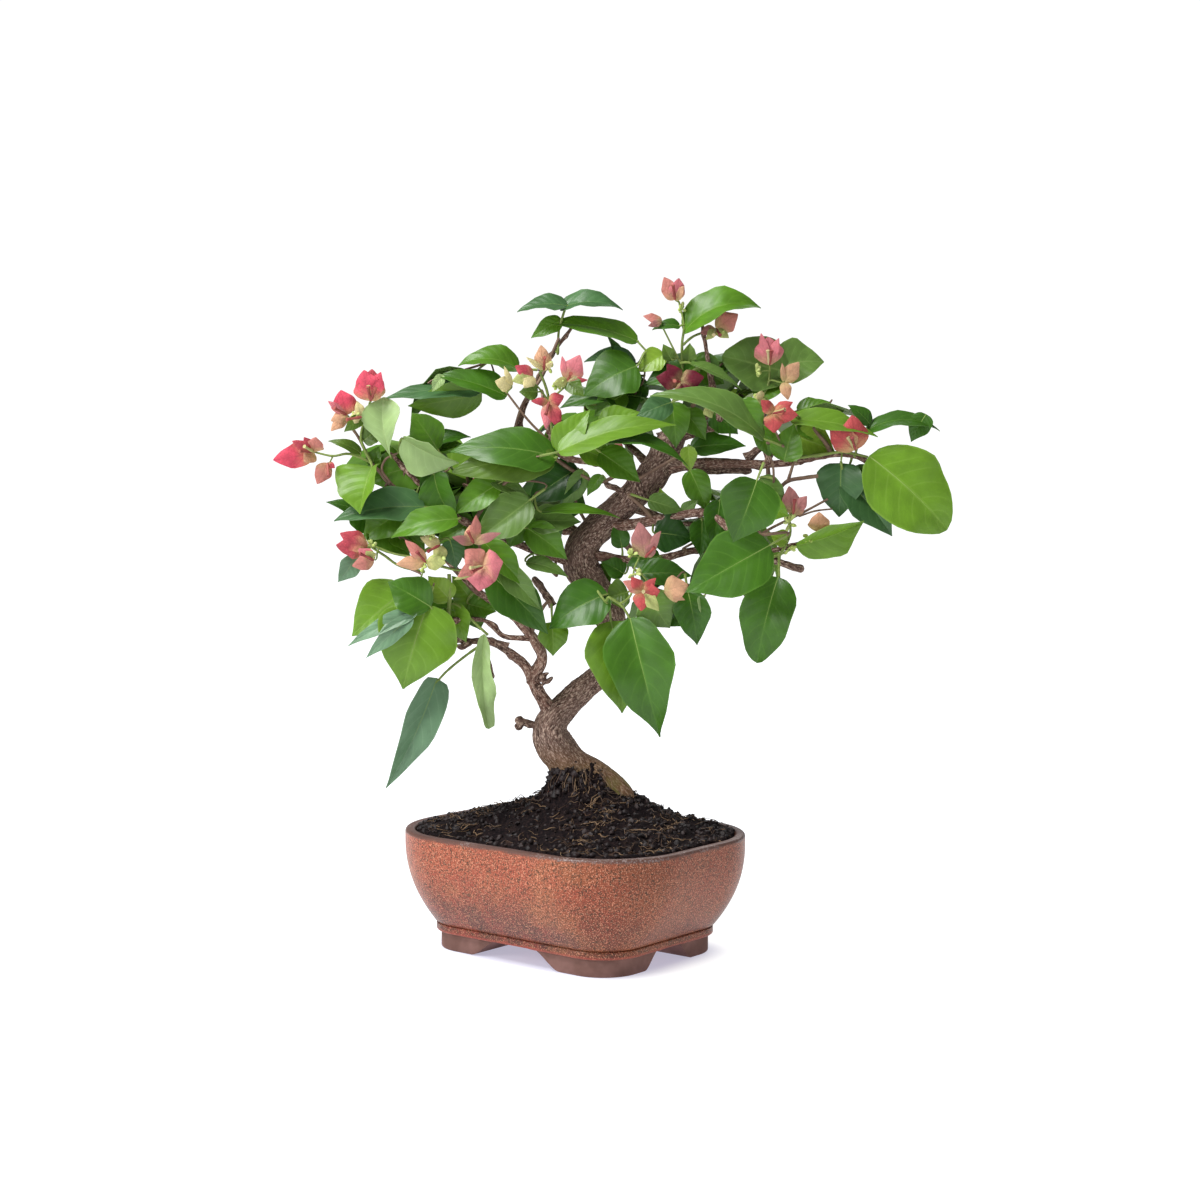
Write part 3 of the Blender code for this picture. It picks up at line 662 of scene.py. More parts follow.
def bladeGrid(length, wide, stations, columns, fold=20, curl=25, cup=0.12, wave=0.09, sway=0, twist=0,
              peak=0.4, taper=0.84, blunt=0.52, droop=0.04, ripple=0.05, phase=0.0):
    # fold, curl and twist are in degrees; peak is where it is widest, taper and blunt shape its outline,
    # and cup, wave, droop and ripple are shares of its width or length
    t = np.array(stations)[:, None]
    s = np.array(columns)[None, :]
    spread = np.maximum(np.sin(np.pi * t ** (math.log(0.5) / math.log(peak))), 0) ** blunt
    spread = spread * (1 - taper * t ** 3)
    spread = np.maximum(spread / spread.max(), 0.022) * wide
    spread = spread * (1 + ripple * np.sin(math.tau * 2.1 * t + phase * 1.7 + 2.6 * (s > 0)))
    lift = math.radians(fold)
    across = s * spread * math.cos(lift)
    margin = spread * s ** 2
    rise = np.abs(s) * spread * math.sin(lift) - cup * margin
    rise = rise + wave * margin * np.sin(math.tau * 1.6 * t + phase + 2.1 * (s > 0))
    rise = rise + wave * 0.4 * margin * np.sin(math.tau * 3.7 * t + phase * 2 + 0.9 * (s > 0))
    turn = np.radians(twist) * (t - 0.5)
    across, rise = across * np.cos(turn) - rise * np.sin(turn), across * np.sin(turn) + rise * np.cos(turn)
    bend = math.radians(curl) if abs(curl) > 1 else 0.02
    angle = bend * (0.5 - t)
    radius = length / (2 * math.sin(bend / 2))
    middle = length / 2 - radius * np.sin(angle)
    arch = radius * (np.cos(angle) - math.cos(bend / 2)) - droop * length * (t ** 4 - t)
    return np.stack(np.broadcast_arrays(across + sway * 4 * t * (1 - t), middle - rise * np.sin(angle),
                                        arch + rise * np.cos(angle)), axis=-1)


def facing(foot, tip, tilt):
    # the way a blade's upper side looks: to the front, turned upwards by the tilt, or to the right
    # where the blade hangs or stands
    front = Vector((0, -1, 0.06)).normalized()
    side = (tip - foot).cross(front).normalized()
    turnedAway = side.z < 0 if abs(side.z) > 0.3 else side.x < 0
    if turnedAway:
        side = -side
    return front * math.cos(math.radians(tilt)) + side * math.sin(math.radians(tilt))


def placeGrid(grid, foot, tip, face):
    along = (tip - foot).normalized()
    up = (face - along * face.dot(along)).normalized()
    turn = np.array((along.cross(up), along, up))
    return grid @ turn + np.array(foot)


def gridNormals(grid):
    along = np.gradient(grid, axis=0)
    across = np.gradient(grid, axis=1)
    normals = np.cross(across, along)
    return normals / np.maximum(np.linalg.norm(normals, axis=2, keepdims=True), 1e-9)


def addPlate(heap, grid, thick, stations, columns):
    # the grid as a closed thin plate, with its underside in a finish of its own; each point knows its
    # place on the blade, across and along, and the blade's own number
    rows, cols = grid.shape[:2]
    under = grid - gridNormals(grid) * thick
    points = np.concatenate((grid.reshape(-1, 3), under.reshape(-1, 3)))
    low = rows * cols
    faces, finishes = [], []
    for i in range(rows - 1):
        for j in range(cols - 1):
            a, b = i * cols + j, (i + 1) * cols + j
            faces.append((a, a + 1, b + 1, b))
            faces.append((low + a, low + b, low + b + 1, low + a + 1))
            finishes.extend((0, 1))
    rim = list(range(cols)) + [i * cols + cols - 1 for i in range(1, rows)]
    rim += [(rows - 1) * cols + j for j in range(cols - 2, -1, -1)]
    rim += [i * cols for i in range(rows - 2, 0, -1)]
    for one, two in zip(rim, rim[1:] + rim[:1]):
        faces.append((one, low + one, low + two, two))
        finishes.append(0)
    own = dice.random()
    places = [(s, t, own) for t in stations for s in columns]
    heap.add(points.tolist(), faces, finishes, places + places)


def addRib(heap, grid, thick, radius):
    # the raised middle vein, which stands out on both sides of the blade
    spots = (grid - gridNormals(grid) * thick / 2)[:-1, grid.shape[1] // 2]
    last = len(spots) - 1
    addTube(heap, spots, [radius * (1 - 0.8 * i / last) for i in range(last + 1)], sides=4)


leafTints = {                   # the upper side, the underside and the veins
    "darkest": (tone(36, 78, 16), tone(88, 118, 60), tone(70, 108, 44)),
    "dark": (tone(58, 104, 18), tone(102, 134, 64), tone(92, 134, 48)),
    "deep": (tone(66, 112, 20), tone(108, 138, 68), tone(98, 144, 48)),
    "mid": (tone(84, 130, 24), tone(118, 148, 76), tone(118, 158, 58)),
    "fresh": (tone(108, 150, 36), tone(134, 164, 80), tone(142, 178, 74)),
    "lime": (tone(126, 160, 46), tone(148, 172, 86), tone(160, 188, 84)),
    # the next two tints are green leaves with painted sheen: a bluish grey, the sky's reflection, mixed into
    # their colour
    "blue": (tone(112, 148, 112), tone(130, 156, 116), tone(150, 178, 142)),
    "steel_sheen": (tone(70, 110, 62), tone(108, 136, 90), tone(108, 144, 88)),
    "grey": (tone(100, 134, 58), tone(132, 156, 96), tone(138, 168, 92)),
    "pale": (tone(162, 190, 122), tone(160, 184, 122), tone(184, 206, 146)),
    "olive": (tone(84, 114, 32), tone(124, 142, 76), tone(120, 146, 62)),
}
bractTints = {
    "deepPink": tone(228, 90, 112), "rose": tone(204, 86, 98), "pink": tone(226, 136, 144),
    "salmon": tone(218, 146, 134), "coral": tone(206, 92, 92), "peach": tone(224, 178, 142),
    "cream": tone(226, 214, 160), "limeCream": tone(200, 206, 132), "crimson": tone(122, 34, 52),
    "dusty": tone(188, 128, 124),
}
leafThick = 0.28
bractThick = 0.16
leafHeaps = {tint: Heap() for tint in leafTints}
bractHeaps = {tint: Heap() for tint in bractTints}
ribHeap, budHeap, flowerHeap = Heap(), Heap(), Heap()
covers = []                     # outline in dots of the view, and depth, of the display side's leaves


def addLeaf(tint, foot, tip, face, wide, make=fineGrid, **form):
    form = dict(dict(phase=dice.uniform(0, 6), sway=dice.uniform(-0.05, 0.05) * wide), **form)
    grid = placeGrid(bladeGrid((tip - foot).length, wide, **make, **form), foot, tip, face)
    addPlate(leafHeaps[tint], grid, leafThick, **make)
    addRib(ribHeap, grid, leafThick, radius=0.26 + wide * 0.008)
    return grid


def addBract(tint, foot, tip, face, wide, **form):
    form = dict(dict(fold=8, curl=40, cup=0.34, wave=0.14, peak=0.44, taper=0.5, blunt=0.6,
                     phase=dice.uniform(0, 6)), **form)
    grid = placeGrid(bladeGrid((tip - foot).length, wide, **fineGrid, **form), foot, tip, face)
    addPlate(bractHeaps[tint], grid, bractThick, **fineGrid)


def outlineOf(grid):
    edge = list(grid[:, 0]) + list(grid[::-1, -1])
    return [toView(spot) for spot in edge]


def stalkTo(foot, heading, thick, reach):
    # a stalk from the nearest limb or twig; where that is too far off, a new twig grows first
    spot, along, radius = min(wood, key=lambda place: (place[0] - foot).length_squared)
    away = (foot - spot).length
    if away > reach:
        rest = foot - heading * reach * 0.8
        leave = (along * 0.6 + (rest - spot).normalized()).normalized()
        spots = arc(spot, leave, rest, heading, steps=7)
        radii = [max(0.75, min(radius * 0.7, 1.5)) * (1 - 0.07 * i) for i in range(8)]
        addTube(twigHeap, spots, radii, sides=7)
        addWood(spots, radii)
        spot, along = rest, heading
    leave = (along * 0.5 + (foot - spot).normalized()).normalized()
    spots = arc(spot, leave, foot + heading * 0.6, heading)
    addTube(shootHeap, spots, [thick * (1 - 0.06 * i) for i in range(7)])


def leaf(tint, base, tip, back, wide, tilt=10, lean=0, stalk=True, **form):
    foot = atView(*base, back)
    end = atView(*tip, back + lean)
    grid = addLeaf(tint, foot, end, facing(foot, end, tilt), wide, **form)
    covers.append((outlineOf(grid), float(grid[..., 1].mean())))
    if stalk:
        stalkTo(foot, (end - foot).normalized(), thick=0.85, reach=13)


# The leaves that lead on the display side, mass by mass: where the foot and tip of each are in the view,
# how far it is behind the pot's middle, half its width, and how far its upper side turns upwards. One
# without a stalk hangs on a twig or leaf that is there already.
# left_high
leaf("olive", base=(363, 441), tip=(384, 426), back=-18, wide=6.5)
leaf("olive", base=(361, 453), tip=(328, 441), back=-17, wide=4, tilt=35, curl=50)
leaf("mid", base=(372, 466), tip=(379, 446), back=-14, wide=5)
leaf("fresh", base=(372, 467), tip=(360, 514), back=-22, wide=21, tilt=-40, fold=36, lean=-10)
leaf("pale", base=(391, 458), tip=(384, 397), back=-22, wide=12.5, tilt=-16, fold=24, peak=0.72, curl=30,
     taper=0.12, blunt=0.8, sway=-1.5)
leaf("pale", base=(403, 438), tip=(459, 463), back=-25, wide=16, tilt=-44, fold=38, curl=16, peak=0.42)
leaf("mid", base=(438, 450), tip=(412, 413), back=-12, wide=10.5, peak=0.55)
leaf("mid", base=(424, 464), tip=(366, 481), back=-12, wide=14, tilt=8, fold=12)
leaf("dark", base=(425, 450), tip=(471, 437), back=2, wide=8, tilt=50, curl=50)
leaf("mid", base=(430, 452), tip=(468, 446), back=-2, wide=6, tilt=40)
# high_left
leaf("mid", base=(519, 369), tip=(458, 366), back=2, wide=11, tilt=48, curl=70, fold=24)
leaf("deep", base=(507, 396), tip=(436, 376), back=-6, wide=11, tilt=42, curl=24, fold=26, stalk=False)
leaf("pale", base=(443, 375), tip=(432, 392), back=-7, wide=3.4, tilt=0, stalk=False)
leaf("steel_sheen", base=(482, 389), tip=(383, 399), back=2, wide=10, tilt=52, fold=10, curl=16)
leaf("fresh", base=(482, 393), tip=(408, 406), back=1, wide=11, tilt=-18, fold=8, curl=6, stalk=False)
# left_mid
leaf("steel_sheen", base=(425, 507), tip=(334, 521), back=-24, wide=13, tilt=38, fold=24, curl=30)
leaf("mid", base=(402, 512), tip=(362, 540), back=-18, wide=11, fold=22)
leaf("dark", base=(362, 512), tip=(326, 502), back=-10, wide=4.5, tilt=30)
leaf("mid", base=(458, 519), tip=(391, 538), back=-34, wide=10.5, tilt=34, curl=50, fold=20)
leaf("deep", base=(434, 474), tip=(459, 522), back=-22, wide=12, tilt=-24, fold=26, sway=2)
leaf("dark", base=(440, 470), tip=(428, 512), back=-18, wide=9, tilt=-10, fold=20)
leaf("mid", base=(498, 484), tip=(454, 514), back=-24, wide=10, tilt=20, fold=22)
leaf("grey", base=(530, 500), tip=(474, 542), back=-26, wide=13, fold=22)
leaf("mid", base=(526, 512), tip=(508, 548), back=-18, wide=10, tilt=-10)
leaf("grey", base=(490, 478), tip=(532, 502), back=-22, wide=6, tilt=30, fold=24)
leaf("blue", base=(356, 556), tip=(338, 582), back=-34, wide=6.5, tilt=-20, fold=20)
leaf("steel_sheen", base=(450, 540), tip=(456, 569), back=-38, wide=7, fold=10)
leaf("mid", base=(372, 522), tip=(410, 556), back=-14, wide=12, tilt=14)
leaf("mid", base=(395, 524), tip=(425, 552), back=-12, wide=11, tilt=14)
leaf("mid", base=(474, 520), tip=(436, 544), back=-18, wide=9, tilt=12)
leaf("deep", base=(470, 530), tip=(478, 570), back=-12, wide=10, tilt=0)
leaf("dark", base=(356, 510), tip=(378, 536), back=-6, wide=9)
# left_low
leaf("fresh", base=(406, 590), tip=(352, 636), back=-37, wide=16.5, tilt=12, fold=12)
leaf("deep", base=(431, 607), tip=(388, 582), back=-39, wide=12, tilt=14, fold=18, peak=0.5)
leaf("lime", base=(450, 600), tip=(428, 576), back=-30, wide=8)
leaf("fresh", base=(452, 604), tip=(466, 642), back=-24, wide=9, tilt=-15)
leaf("mid", base=(468, 604), tip=(496, 612), back=-16, wide=8, tilt=20)
leaf("fresh", base=(474, 604), tip=(452, 576), back=-14, wide=9)
leaf("fresh", base=(428, 604), tip=(403, 689), back=-38, wide=23, tilt=4, fold=10, curl=34)
leaf("blue", base=(417, 611), tip=(348, 646), back=-42, wide=5.5, tilt=24, fold=20, curl=26)
leaf("blue", base=(412, 616), tip=(366, 658), back=-44, wide=5.5, tilt=0, fold=14, curl=30, stalk=False)
leaf("blue", base=(437, 678), tip=(386, 788), back=-24, wide=12, tilt=-18, fold=30, curl=20, peak=0.32,
     taper=0.86, blunt=0.46, sway=-1, stalk=False)
leaf("pale", base=(484, 634), tip=(489, 729), back=-27, wide=7, fold=34, twist=70, sway=2.5, stalk=False,
     peak=0.6, taper=0.1, blunt=0.3, ripple=0.14, wave=0.3)
leaf("mid", base=(470, 600), tip=(480, 630), back=-8, wide=9, tilt=0)
# centre
leaf("deep", base=(556, 457), tip=(450, 452), back=-26, wide=14, tilt=30, curl=40, fold=12)
leaf("olive", base=(555, 458), tip=(452, 472), back=-27, wide=12.5, tilt=14, curl=26, fold=8, taper=0.6)
leaf("darkest", base=(578, 468), tip=(528, 503), back=-6, wide=13, tilt=16, curl=30)
leaf("grey", base=(584, 470), tip=(562, 508), back=-10, wide=6.5, tilt=-20)
leaf("mid", base=(527, 528), tip=(567, 559), back=-20, wide=10, fold=20)
leaf("grey", base=(530, 522), tip=(581, 522), back=-16, wide=10, tilt=30, fold=20)
leaf("mid", base=(541, 512), tip=(620, 518), back=-20, wide=5, tilt=52, curl=30)
leaf("dark", base=(490, 574), tip=(548, 634), back=-30, wide=13, fold=14)
leaf("mid", base=(484, 542), tip=(524, 586), back=-34, wide=9, tilt=22, fold=26)
leaf("grey", base=(500, 566), tip=(541, 610), back=-33, wide=8, fold=26)
leaf("dark", base=(608, 594), tip=(549, 629), back=-24, wide=15, tilt=26, fold=14, curl=36)
leaf("fresh", base=(552, 622), tip=(553, 656), back=-18, wide=9.5, tilt=16)
leaf("mid", base=(602, 475), tip=(587, 496), back=-12, wide=4, tilt=20)
leaf("grey", base=(526, 562), tip=(568, 577), back=-22, wide=5.5, tilt=36, curl=40)
leaf("dark", base=(624, 574), tip=(601, 562), back=-6, wide=7, tilt=20)
leaf("olive", base=(628, 592), tip=(606, 600), back=-16, wide=9)
leaf("dark", base=(540, 520), tip=(560, 548), back=-8, wide=9)
leaf("mid", base=(500, 520), tip=(490, 556), back=-8, wide=10)
leaf("dark", base=(478, 500), tip=(508, 530), back=-6, wide=10)
# top_left
leaf("steel_sheen", base=(568, 306), tip=(517, 312), back=4, wide=8.5, tilt=52, curl=40, fold=20)
leaf("steel_sheen", base=(560, 309), tip=(623, 310), back=6, wide=10, tilt=52, curl=60, fold=24, stalk=False)
leaf("mid", base=(638, 341), tip=(544, 324), back=8, wide=9.5, tilt=46, curl=30, fold=20)
leaf("mid", base=(562, 320), tip=(531, 338), back=7, wide=6, tilt=20, stalk=False)
# high_centre
leaf("deep", base=(637, 366), tip=(584, 396), back=2, wide=16, tilt=24, curl=40, fold=12)
leaf("steel_sheen", base=(636, 364), tip=(584, 362), back=12, wide=8, tilt=44, curl=70)
leaf("dark", base=(620, 392), tip=(560, 408), back=6, wide=9, tilt=40, curl=26)
leaf("mid", base=(626, 393), tip=(594, 416), back=0, wide=9, tilt=16)
leaf("dark", base=(640, 376), tip=(622, 412), back=10, wide=10)
# centre_right
leaf("fresh", base=(558, 452), tip=(676, 425), back=-32, wide=11.5, tilt=44, curl=34, fold=16)
leaf("fresh", base=(558, 452), tip=(590, 410), back=-26, wide=10, tilt=20)
leaf("fresh", base=(600, 430), tip=(640, 412), back=-14, wide=10, tilt=30)
leaf("mid", base=(600, 452), tip=(640, 482), back=-28, wide=10, tilt=20, fold=20)
leaf("fresh", base=(580, 448), tip=(618, 466), back=-24, wide=8, tilt=20)
leaf("steel_sheen", base=(672, 402), tip=(637, 416), back=-18, wide=8, fold=10)
leaf("dark", base=(601, 440), tip=(688, 466), back=-34, wide=7.5, tilt=54, curl=56)
leaf("mid", base=(672, 402), tip=(676, 448), back=-8, wide=10, tilt=0)
leaf("mid", base=(560, 430), tip=(548, 460), back=-10, wide=8, tilt=0)
# crown_top
leaf("mid", base=(684, 333), tip=(761, 308), back=4, wide=15, tilt=46, fold=24, curl=96, peak=0.5,
     blunt=0.6)
leaf("dark", base=(680, 326), tip=(652, 330), back=3, wide=4.5, tilt=40, curl=60)
leaf("olive", base=(689, 362), tip=(690, 343), back=0, wide=4.5, tilt=0)
leaf("olive", base=(672, 360), tip=(663, 344), back=0, wide=4, tilt=0)
leaf("lime", base=(664, 354), tip=(637, 372), back=6, wide=8, tilt=20)
leaf("dark", base=(700, 372), tip=(645, 384), back=4, wide=13, tilt=36, curl=30)
leaf("mid", base=(690, 362), tip=(724, 384), back=6, wide=11)
leaf("grey", base=(690, 363), tip=(742, 390), back=-2, wide=5, tilt=50, curl=20, fold=26)
# top_right
leaf("grey", base=(787, 372), tip=(722, 356), back=8, wide=17.5, tilt=16, curl=20, peak=0.52, blunt=0.36,
     taper=0.6)
leaf("grey", base=(772, 367), tip=(824, 362), back=10, wide=14.5, tilt=22, curl=24, peak=0.5, blunt=0.46)
leaf("grey", base=(764, 439), tip=(650, 396), back=-20, wide=13, tilt=48, curl=60, fold=22)
leaf("mid", base=(740, 400), tip=(762, 436), back=-18, wide=9, tilt=0, stalk=False)
leaf("mid", base=(752, 390), tip=(788, 386), back=4, wide=9, tilt=20)
leaf("dark", base=(690, 448), tip=(746, 446), back=-2, wide=9, tilt=36)
leaf("mid", base=(684, 410), tip=(706, 440), back=-4, wide=8)
leaf("dark", base=(712, 412), tip=(738, 434), back=0, wide=9)
# right_high
leaf("mid", base=(797, 411), tip=(830, 402), back=-2, wide=6, tilt=40)
leaf("fresh", base=(790, 420), tip=(878, 437), back=-16, wide=9.5, tilt=46, curl=26, fold=22)
leaf("mid", base=(784, 461), tip=(794, 424), back=-16, wide=10, tilt=-16, fold=20)
leaf("lime", base=(796, 436), tip=(835, 452), back=-6, wide=12, tilt=20)
leaf("mid", base=(800, 420), tip=(826, 440), back=-2, wide=9, tilt=20)
leaf("mid", base=(762, 425), tip=(770, 458), back=-8, wide=7, tilt=0)
# far_right
leaf("dark", base=(866, 431), tip=(940, 431), back=-10, wide=8.5, tilt=54, curl=70, fold=16, stalk=False)
leaf("dark", base=(870, 424), tip=(848, 405), back=-10, wide=5.5, tilt=30, stalk=False)
leaf("dark", base=(926, 414), tip=(911, 442), back=-12, wide=7, fold=10, stalk=False)
leaf("fresh", base=(869, 456), tip=(947, 530), back=-17, wide=23.5, fold=10, curl=20, peak=0.5, taper=0.42,
     blunt=0.45, ripple=0.03, sway=-1, stalk=False)
leaf("steel_sheen", base=(841, 463), tip=(839, 517), back=-9, wide=14, tilt=-14, fold=16, blunt=0.4)
leaf("steel_sheen", base=(846, 478), tip=(892, 536), back=-7, wide=14, fold=26, curl=40)
leaf("dark", base=(850, 470), tip=(880, 500), back=-4, wide=10, tilt=0)
# right_spray
leaf("fresh", base=(796, 546), tip=(864, 521), back=-18, wide=14, tilt=-38, fold=34, curl=24, peak=0.52)
leaf("lime", base=(787, 541), tip=(770, 534), back=-18, wide=5.5)
# right_mid
leaf("deep", base=(757, 480), tip=(733, 542), back=-44, wide=18, tilt=-8, fold=20, curl=30)
leaf("deep", base=(770, 545), tip=(687, 592), back=-40, wide=19, fold=12, curl=24, peak=0.46)
leaf("dark", base=(732, 560), tip=(737, 519), back=-30, wide=10)
leaf("fresh", base=(756, 500), tip=(789, 516), back=-26, wide=9)
leaf("grey", base=(760, 478), tip=(786, 506), back=-20, wide=7, tilt=0)
leaf("deep", base=(778, 577), tip=(757, 663), back=-18, wide=16, tilt=-12, fold=20, curl=46, peak=0.42,
     taper=0.3, stalk=False)
leaf("dark", base=(702, 520), tip=(700, 556), back=-16, wide=8)
leaf("dark", base=(720, 500), tip=(712, 546), back=-22, wide=9)
# front
leaf("darkest", base=(654, 533), tip=(694, 540), back=-14, wide=12, tilt=16, peak=0.36)
leaf("grey", base=(648, 500), tip=(684, 512), back=-14, wide=6.5, tilt=20)
leaf("lime", base=(664, 510), tip=(660, 488), back=-10, wide=4.5)
leaf("grey", base=(682, 512), tip=(698, 500), back=-14, wide=3.8)
leaf("dark", base=(640, 574), tip=(692, 576), back=-22, wide=9, tilt=24, curl=30)
leaf("grey", base=(648, 596), tip=(670, 628), back=-30, wide=12, tilt=0, fold=10)
leaf("dark", base=(688, 592), tip=(697, 645), back=-28, wide=11, tilt=0, fold=22)
leaf("dark", base=(690, 606), tip=(662, 626), back=-26, wide=8, tilt=0)
leaf("pale", base=(700, 596), tip=(703, 618), back=-30, wide=3, tilt=20, fold=30, stalk=False)
leaf("fresh", base=(611, 621), tip=(622, 713), back=-28, wide=18.5, fold=14, curl=30, stalk=False)
leaf("deep", base=(630, 618), tip=(660, 737), back=-34, wide=20.5, tilt=-8, fold=24, curl=36, ripple=0.08,
     blunt=0.58, taper=0.9, stalk=False)
leaf("mid", base=(690, 470), tip=(708, 512), back=-10, wide=8.5, tilt=0, fold=20)
leaf("dark", base=(622, 548), tip=(616, 520), back=-4, wide=6)
leaf("dark", base=(660, 556), tip=(626, 566), back=-10, wide=7, tilt=20)
leaf("lime", base=(688, 446), tip=(690, 472), back=-18, wide=5, tilt=0)
leaf("mid", base=(596, 566), tip=(610, 586), back=4, wide=7, tilt=0)
print("leaves of the display side", len(covers))


def addFlower(foot, heading, length, finish):
    # a slender tube that widens to its mouth
    spots = arc(foot, heading, foot + heading * length, heading, bow=0.3, steps=4)
    addTube(flowerHeap, spots, [0.55, 0.95, 0.7, 0.75, 1.15], 7, finish)


def displayBract(start, back, tint, tip, wide, tilt=0, behind=0, **form):
    end = atView(*tip, back + behind)
    face = facing(start, end, tilt)
    if tint in leafTints:
        addLeaf(tint, start, end, face, wide, fold=14, curl=24, **form)
    else:
        addBract(tint, start, end, face, wide, **form)
    return (end - start).normalized()


def bloom(foot, back, bracts, tubes=0):
    # bracts that spring from one foot, each a little in front of the last, and flowers between them
    start = atView(*foot, back)
    heading = Vector((0, 0, 0))
    for i, bract in enumerate(bracts):
        heading += displayBract(start, back - 1 - 1.2 * i, **bract)
    heading = heading.normalized() if heading.length > 0.4 else Vector((0, -0.6, 0.8))
    for tube in range(tubes):
        spread = Vector((dice.uniform(-0.35, 0.35), -0.35, dice.uniform(-0.35, 0.35)))
        addFlower(start + Vector((0, -2, 0)), (heading + spread).normalized(), length=9, finish=tube % 2)
    stalkTo(start, heading, thick=0.6, reach=16)


def budCluster(spot, count, long=5):
    for bud in range(count):
        heading = Vector((dice.uniform(-1, 1), dice.uniform(-1, 0.6), dice.uniform(-0.7, 1))).normalized()
        length = long * dice.uniform(0.6, 1)
        spots = [spot + heading * length * share for share in (0, 0.3, 0.6, 0.85, 1)]
        addTube(budHeap, spots, [0.35, 0.5, 1.0, 0.9, 0.3])


def displayBuds(at, back, count, long=5):
    spot = atView(*at, back)
    budCluster(spot, count, long)
    stalkTo(spot, Vector((0, -0.4, 0.9)).normalized(), thick=0.5, reach=12)


# The blooms of the display side: where each has its foot and its bracts' tips in the view, how far behind
# the pot's middle, and how many flowers show
bloom(foot=(371, 401), back=-26, tubes=3, bracts=[
    dict(tint="deepPink", tip=(364, 370), wide=8.5, tilt=-14),
    dict(tint="deepPink", tip=(381, 372), wide=5.5, tilt=16),
    dict(tint="rose", tip=(372, 369), wide=8, behind=4)])
bloom(foot=(347, 415), back=-22, tubes=1, bracts=[
    dict(tint="deepPink", tip=(341, 390), wide=7.4),
    dict(tint="pink", tip=(328, 401), wide=2.6),
    dict(tint="peach", tip=(331, 421), wide=4, tilt=20),
    dict(tint="peach", tip=(331, 431), wide=3.6)])
bloom(foot=(362, 417), back=-24, tubes=1, bracts=[
    dict(tint="cream", tip=(357, 401), wide=3),
    dict(tint="cream", tip=(348, 420), wide=3.4, tilt=10),
    dict(tint="olive", tip=(344, 432), wide=4)])
bloom(foot=(314, 452), back=-22, tubes=2, bracts=[
    dict(tint="deepPink", tip=(273, 460), wide=7.2, tilt=-14),
    dict(tint="rose", tip=(292, 441), wide=3.6, tilt=20),
    dict(tint="rose", tip=(304, 437), wide=3.4),
    dict(tint="salmon", tip=(316, 437), wide=5.4),
    dict(tint="peach", tip=(304, 462), wide=4.4, tilt=-10)])
bloom(foot=(328, 463), back=-22, tubes=1, bracts=[
    dict(tint="salmon", tip=(317, 484), wide=5, tilt=-10),
    dict(tint="rose", tip=(335, 468), wide=2)])
bloom(foot=(367, 548), back=-40, bracts=[
    dict(tint="rose", tip=(340, 533), wide=6.5, tilt=30),
    dict(tint="rose", tip=(336, 545), wide=6.8, tilt=-20)])
bloom(foot=(374, 560), back=-42, tubes=1, bracts=[
    dict(tint="pink", tip=(358, 549), wide=4, tilt=10),
    dict(tint="salmon", tip=(352, 566), wide=4.4, tilt=-10),
    dict(tint="limeCream", tip=(366, 551), wide=3.2)])
bloom(foot=(426, 562), back=-42, tubes=1, bracts=[
    dict(tint="salmon", tip=(405, 540), wide=3.4, tilt=10),
    dict(tint="peach", tip=(396, 564), wide=4.2, tilt=10),
    dict(tint="limeCream", tip=(446, 563), wide=4.6, tilt=10)])
bloom(foot=(440, 545), back=-40, tubes=1, bracts=[
    dict(tint="cream", tip=(420, 537), wide=3.4, tilt=10),
    dict(tint="limeCream", tip=(440, 565), wide=4)])
bloom(foot=(474, 543), back=-40, tubes=1, bracts=[
    dict(tint="peach", tip=(470, 525), wide=5),
    dict(tint="salmon", tip=(476, 515), wide=3.6, tilt=20),
    dict(tint="dusty", tip=(452, 537), wide=2.8),
    dict(tint="dusty", tip=(501, 533), wide=2.8, tilt=10)])
bloom(foot=(483, 566), back=-46, tubes=2, bracts=[
    dict(tint="salmon", tip=(465, 550), wide=7, tilt=16),
    dict(tint="pink", tip=(503, 562), wide=8.5, tilt=10),
    dict(tint="salmon", tip=(458, 577), wide=6, tilt=-10),
    dict(tint="pink", tip=(479, 591), wide=8.5),
    dict(tint="limeCream", tip=(454, 580), wide=2.6, behind=3)])
bloom(foot=(544, 370), back=-18, tubes=1, bracts=[
    dict(tint="peach", tip=(541, 345), wide=4.8),
    dict(tint="cream", tip=(526, 357), wide=1.7),
    dict(tint="cream", tip=(553, 362), wide=2)])
bloom(foot=(533, 376), back=-20, bracts=[
    dict(tint="rose", tip=(515, 366), wide=4, tilt=10),
    dict(tint="limeCream", tip=(512, 381), wide=4),
    dict(tint="cream", tip=(524, 388), wide=4)])
bloom(foot=(512, 386), back=-18, bracts=[
    dict(tint="cream", tip=(495, 381), wide=4.4),
    dict(tint="cream", tip=(504, 366), wide=1.8)])
bloom(foot=(568, 381), back=-20, tubes=2, bracts=[
    dict(tint="pink", tip=(562, 356), wide=2.6, tilt=-10),
    dict(tint="pink", tip=(580, 355), wide=6.2, tilt=6),
    dict(tint="rose", tip=(588, 380), wide=2),
    dict(tint="limeCream", tip=(553, 384), wide=3),
    dict(tint="olive", tip=(584, 397), wide=5)])
bloom(foot=(538, 392), back=-18, bracts=[dict(tint="olive", tip=(519, 392), wide=5, tilt=10)])
bloom(foot=(549, 402), back=-20, tubes=1, bracts=[
    dict(tint="rose", tip=(564, 396), wide=4),
    dict(tint="rose", tip=(531, 401), wide=2.4),
    dict(tint="pink", tip=(546, 429), wide=3.8),
    dict(tint="rose", tip=(560, 429), wide=4.2, tilt=10)])
bloom(foot=(675, 300), back=2, tubes=1, bracts=[
    dict(tint="salmon", tip=(664, 277), wide=5, tilt=-10),
    dict(tint="pink", tip=(679, 278), wide=5, tilt=14),
    dict(tint="peach", tip=(684, 286), wide=3, tilt=20)])
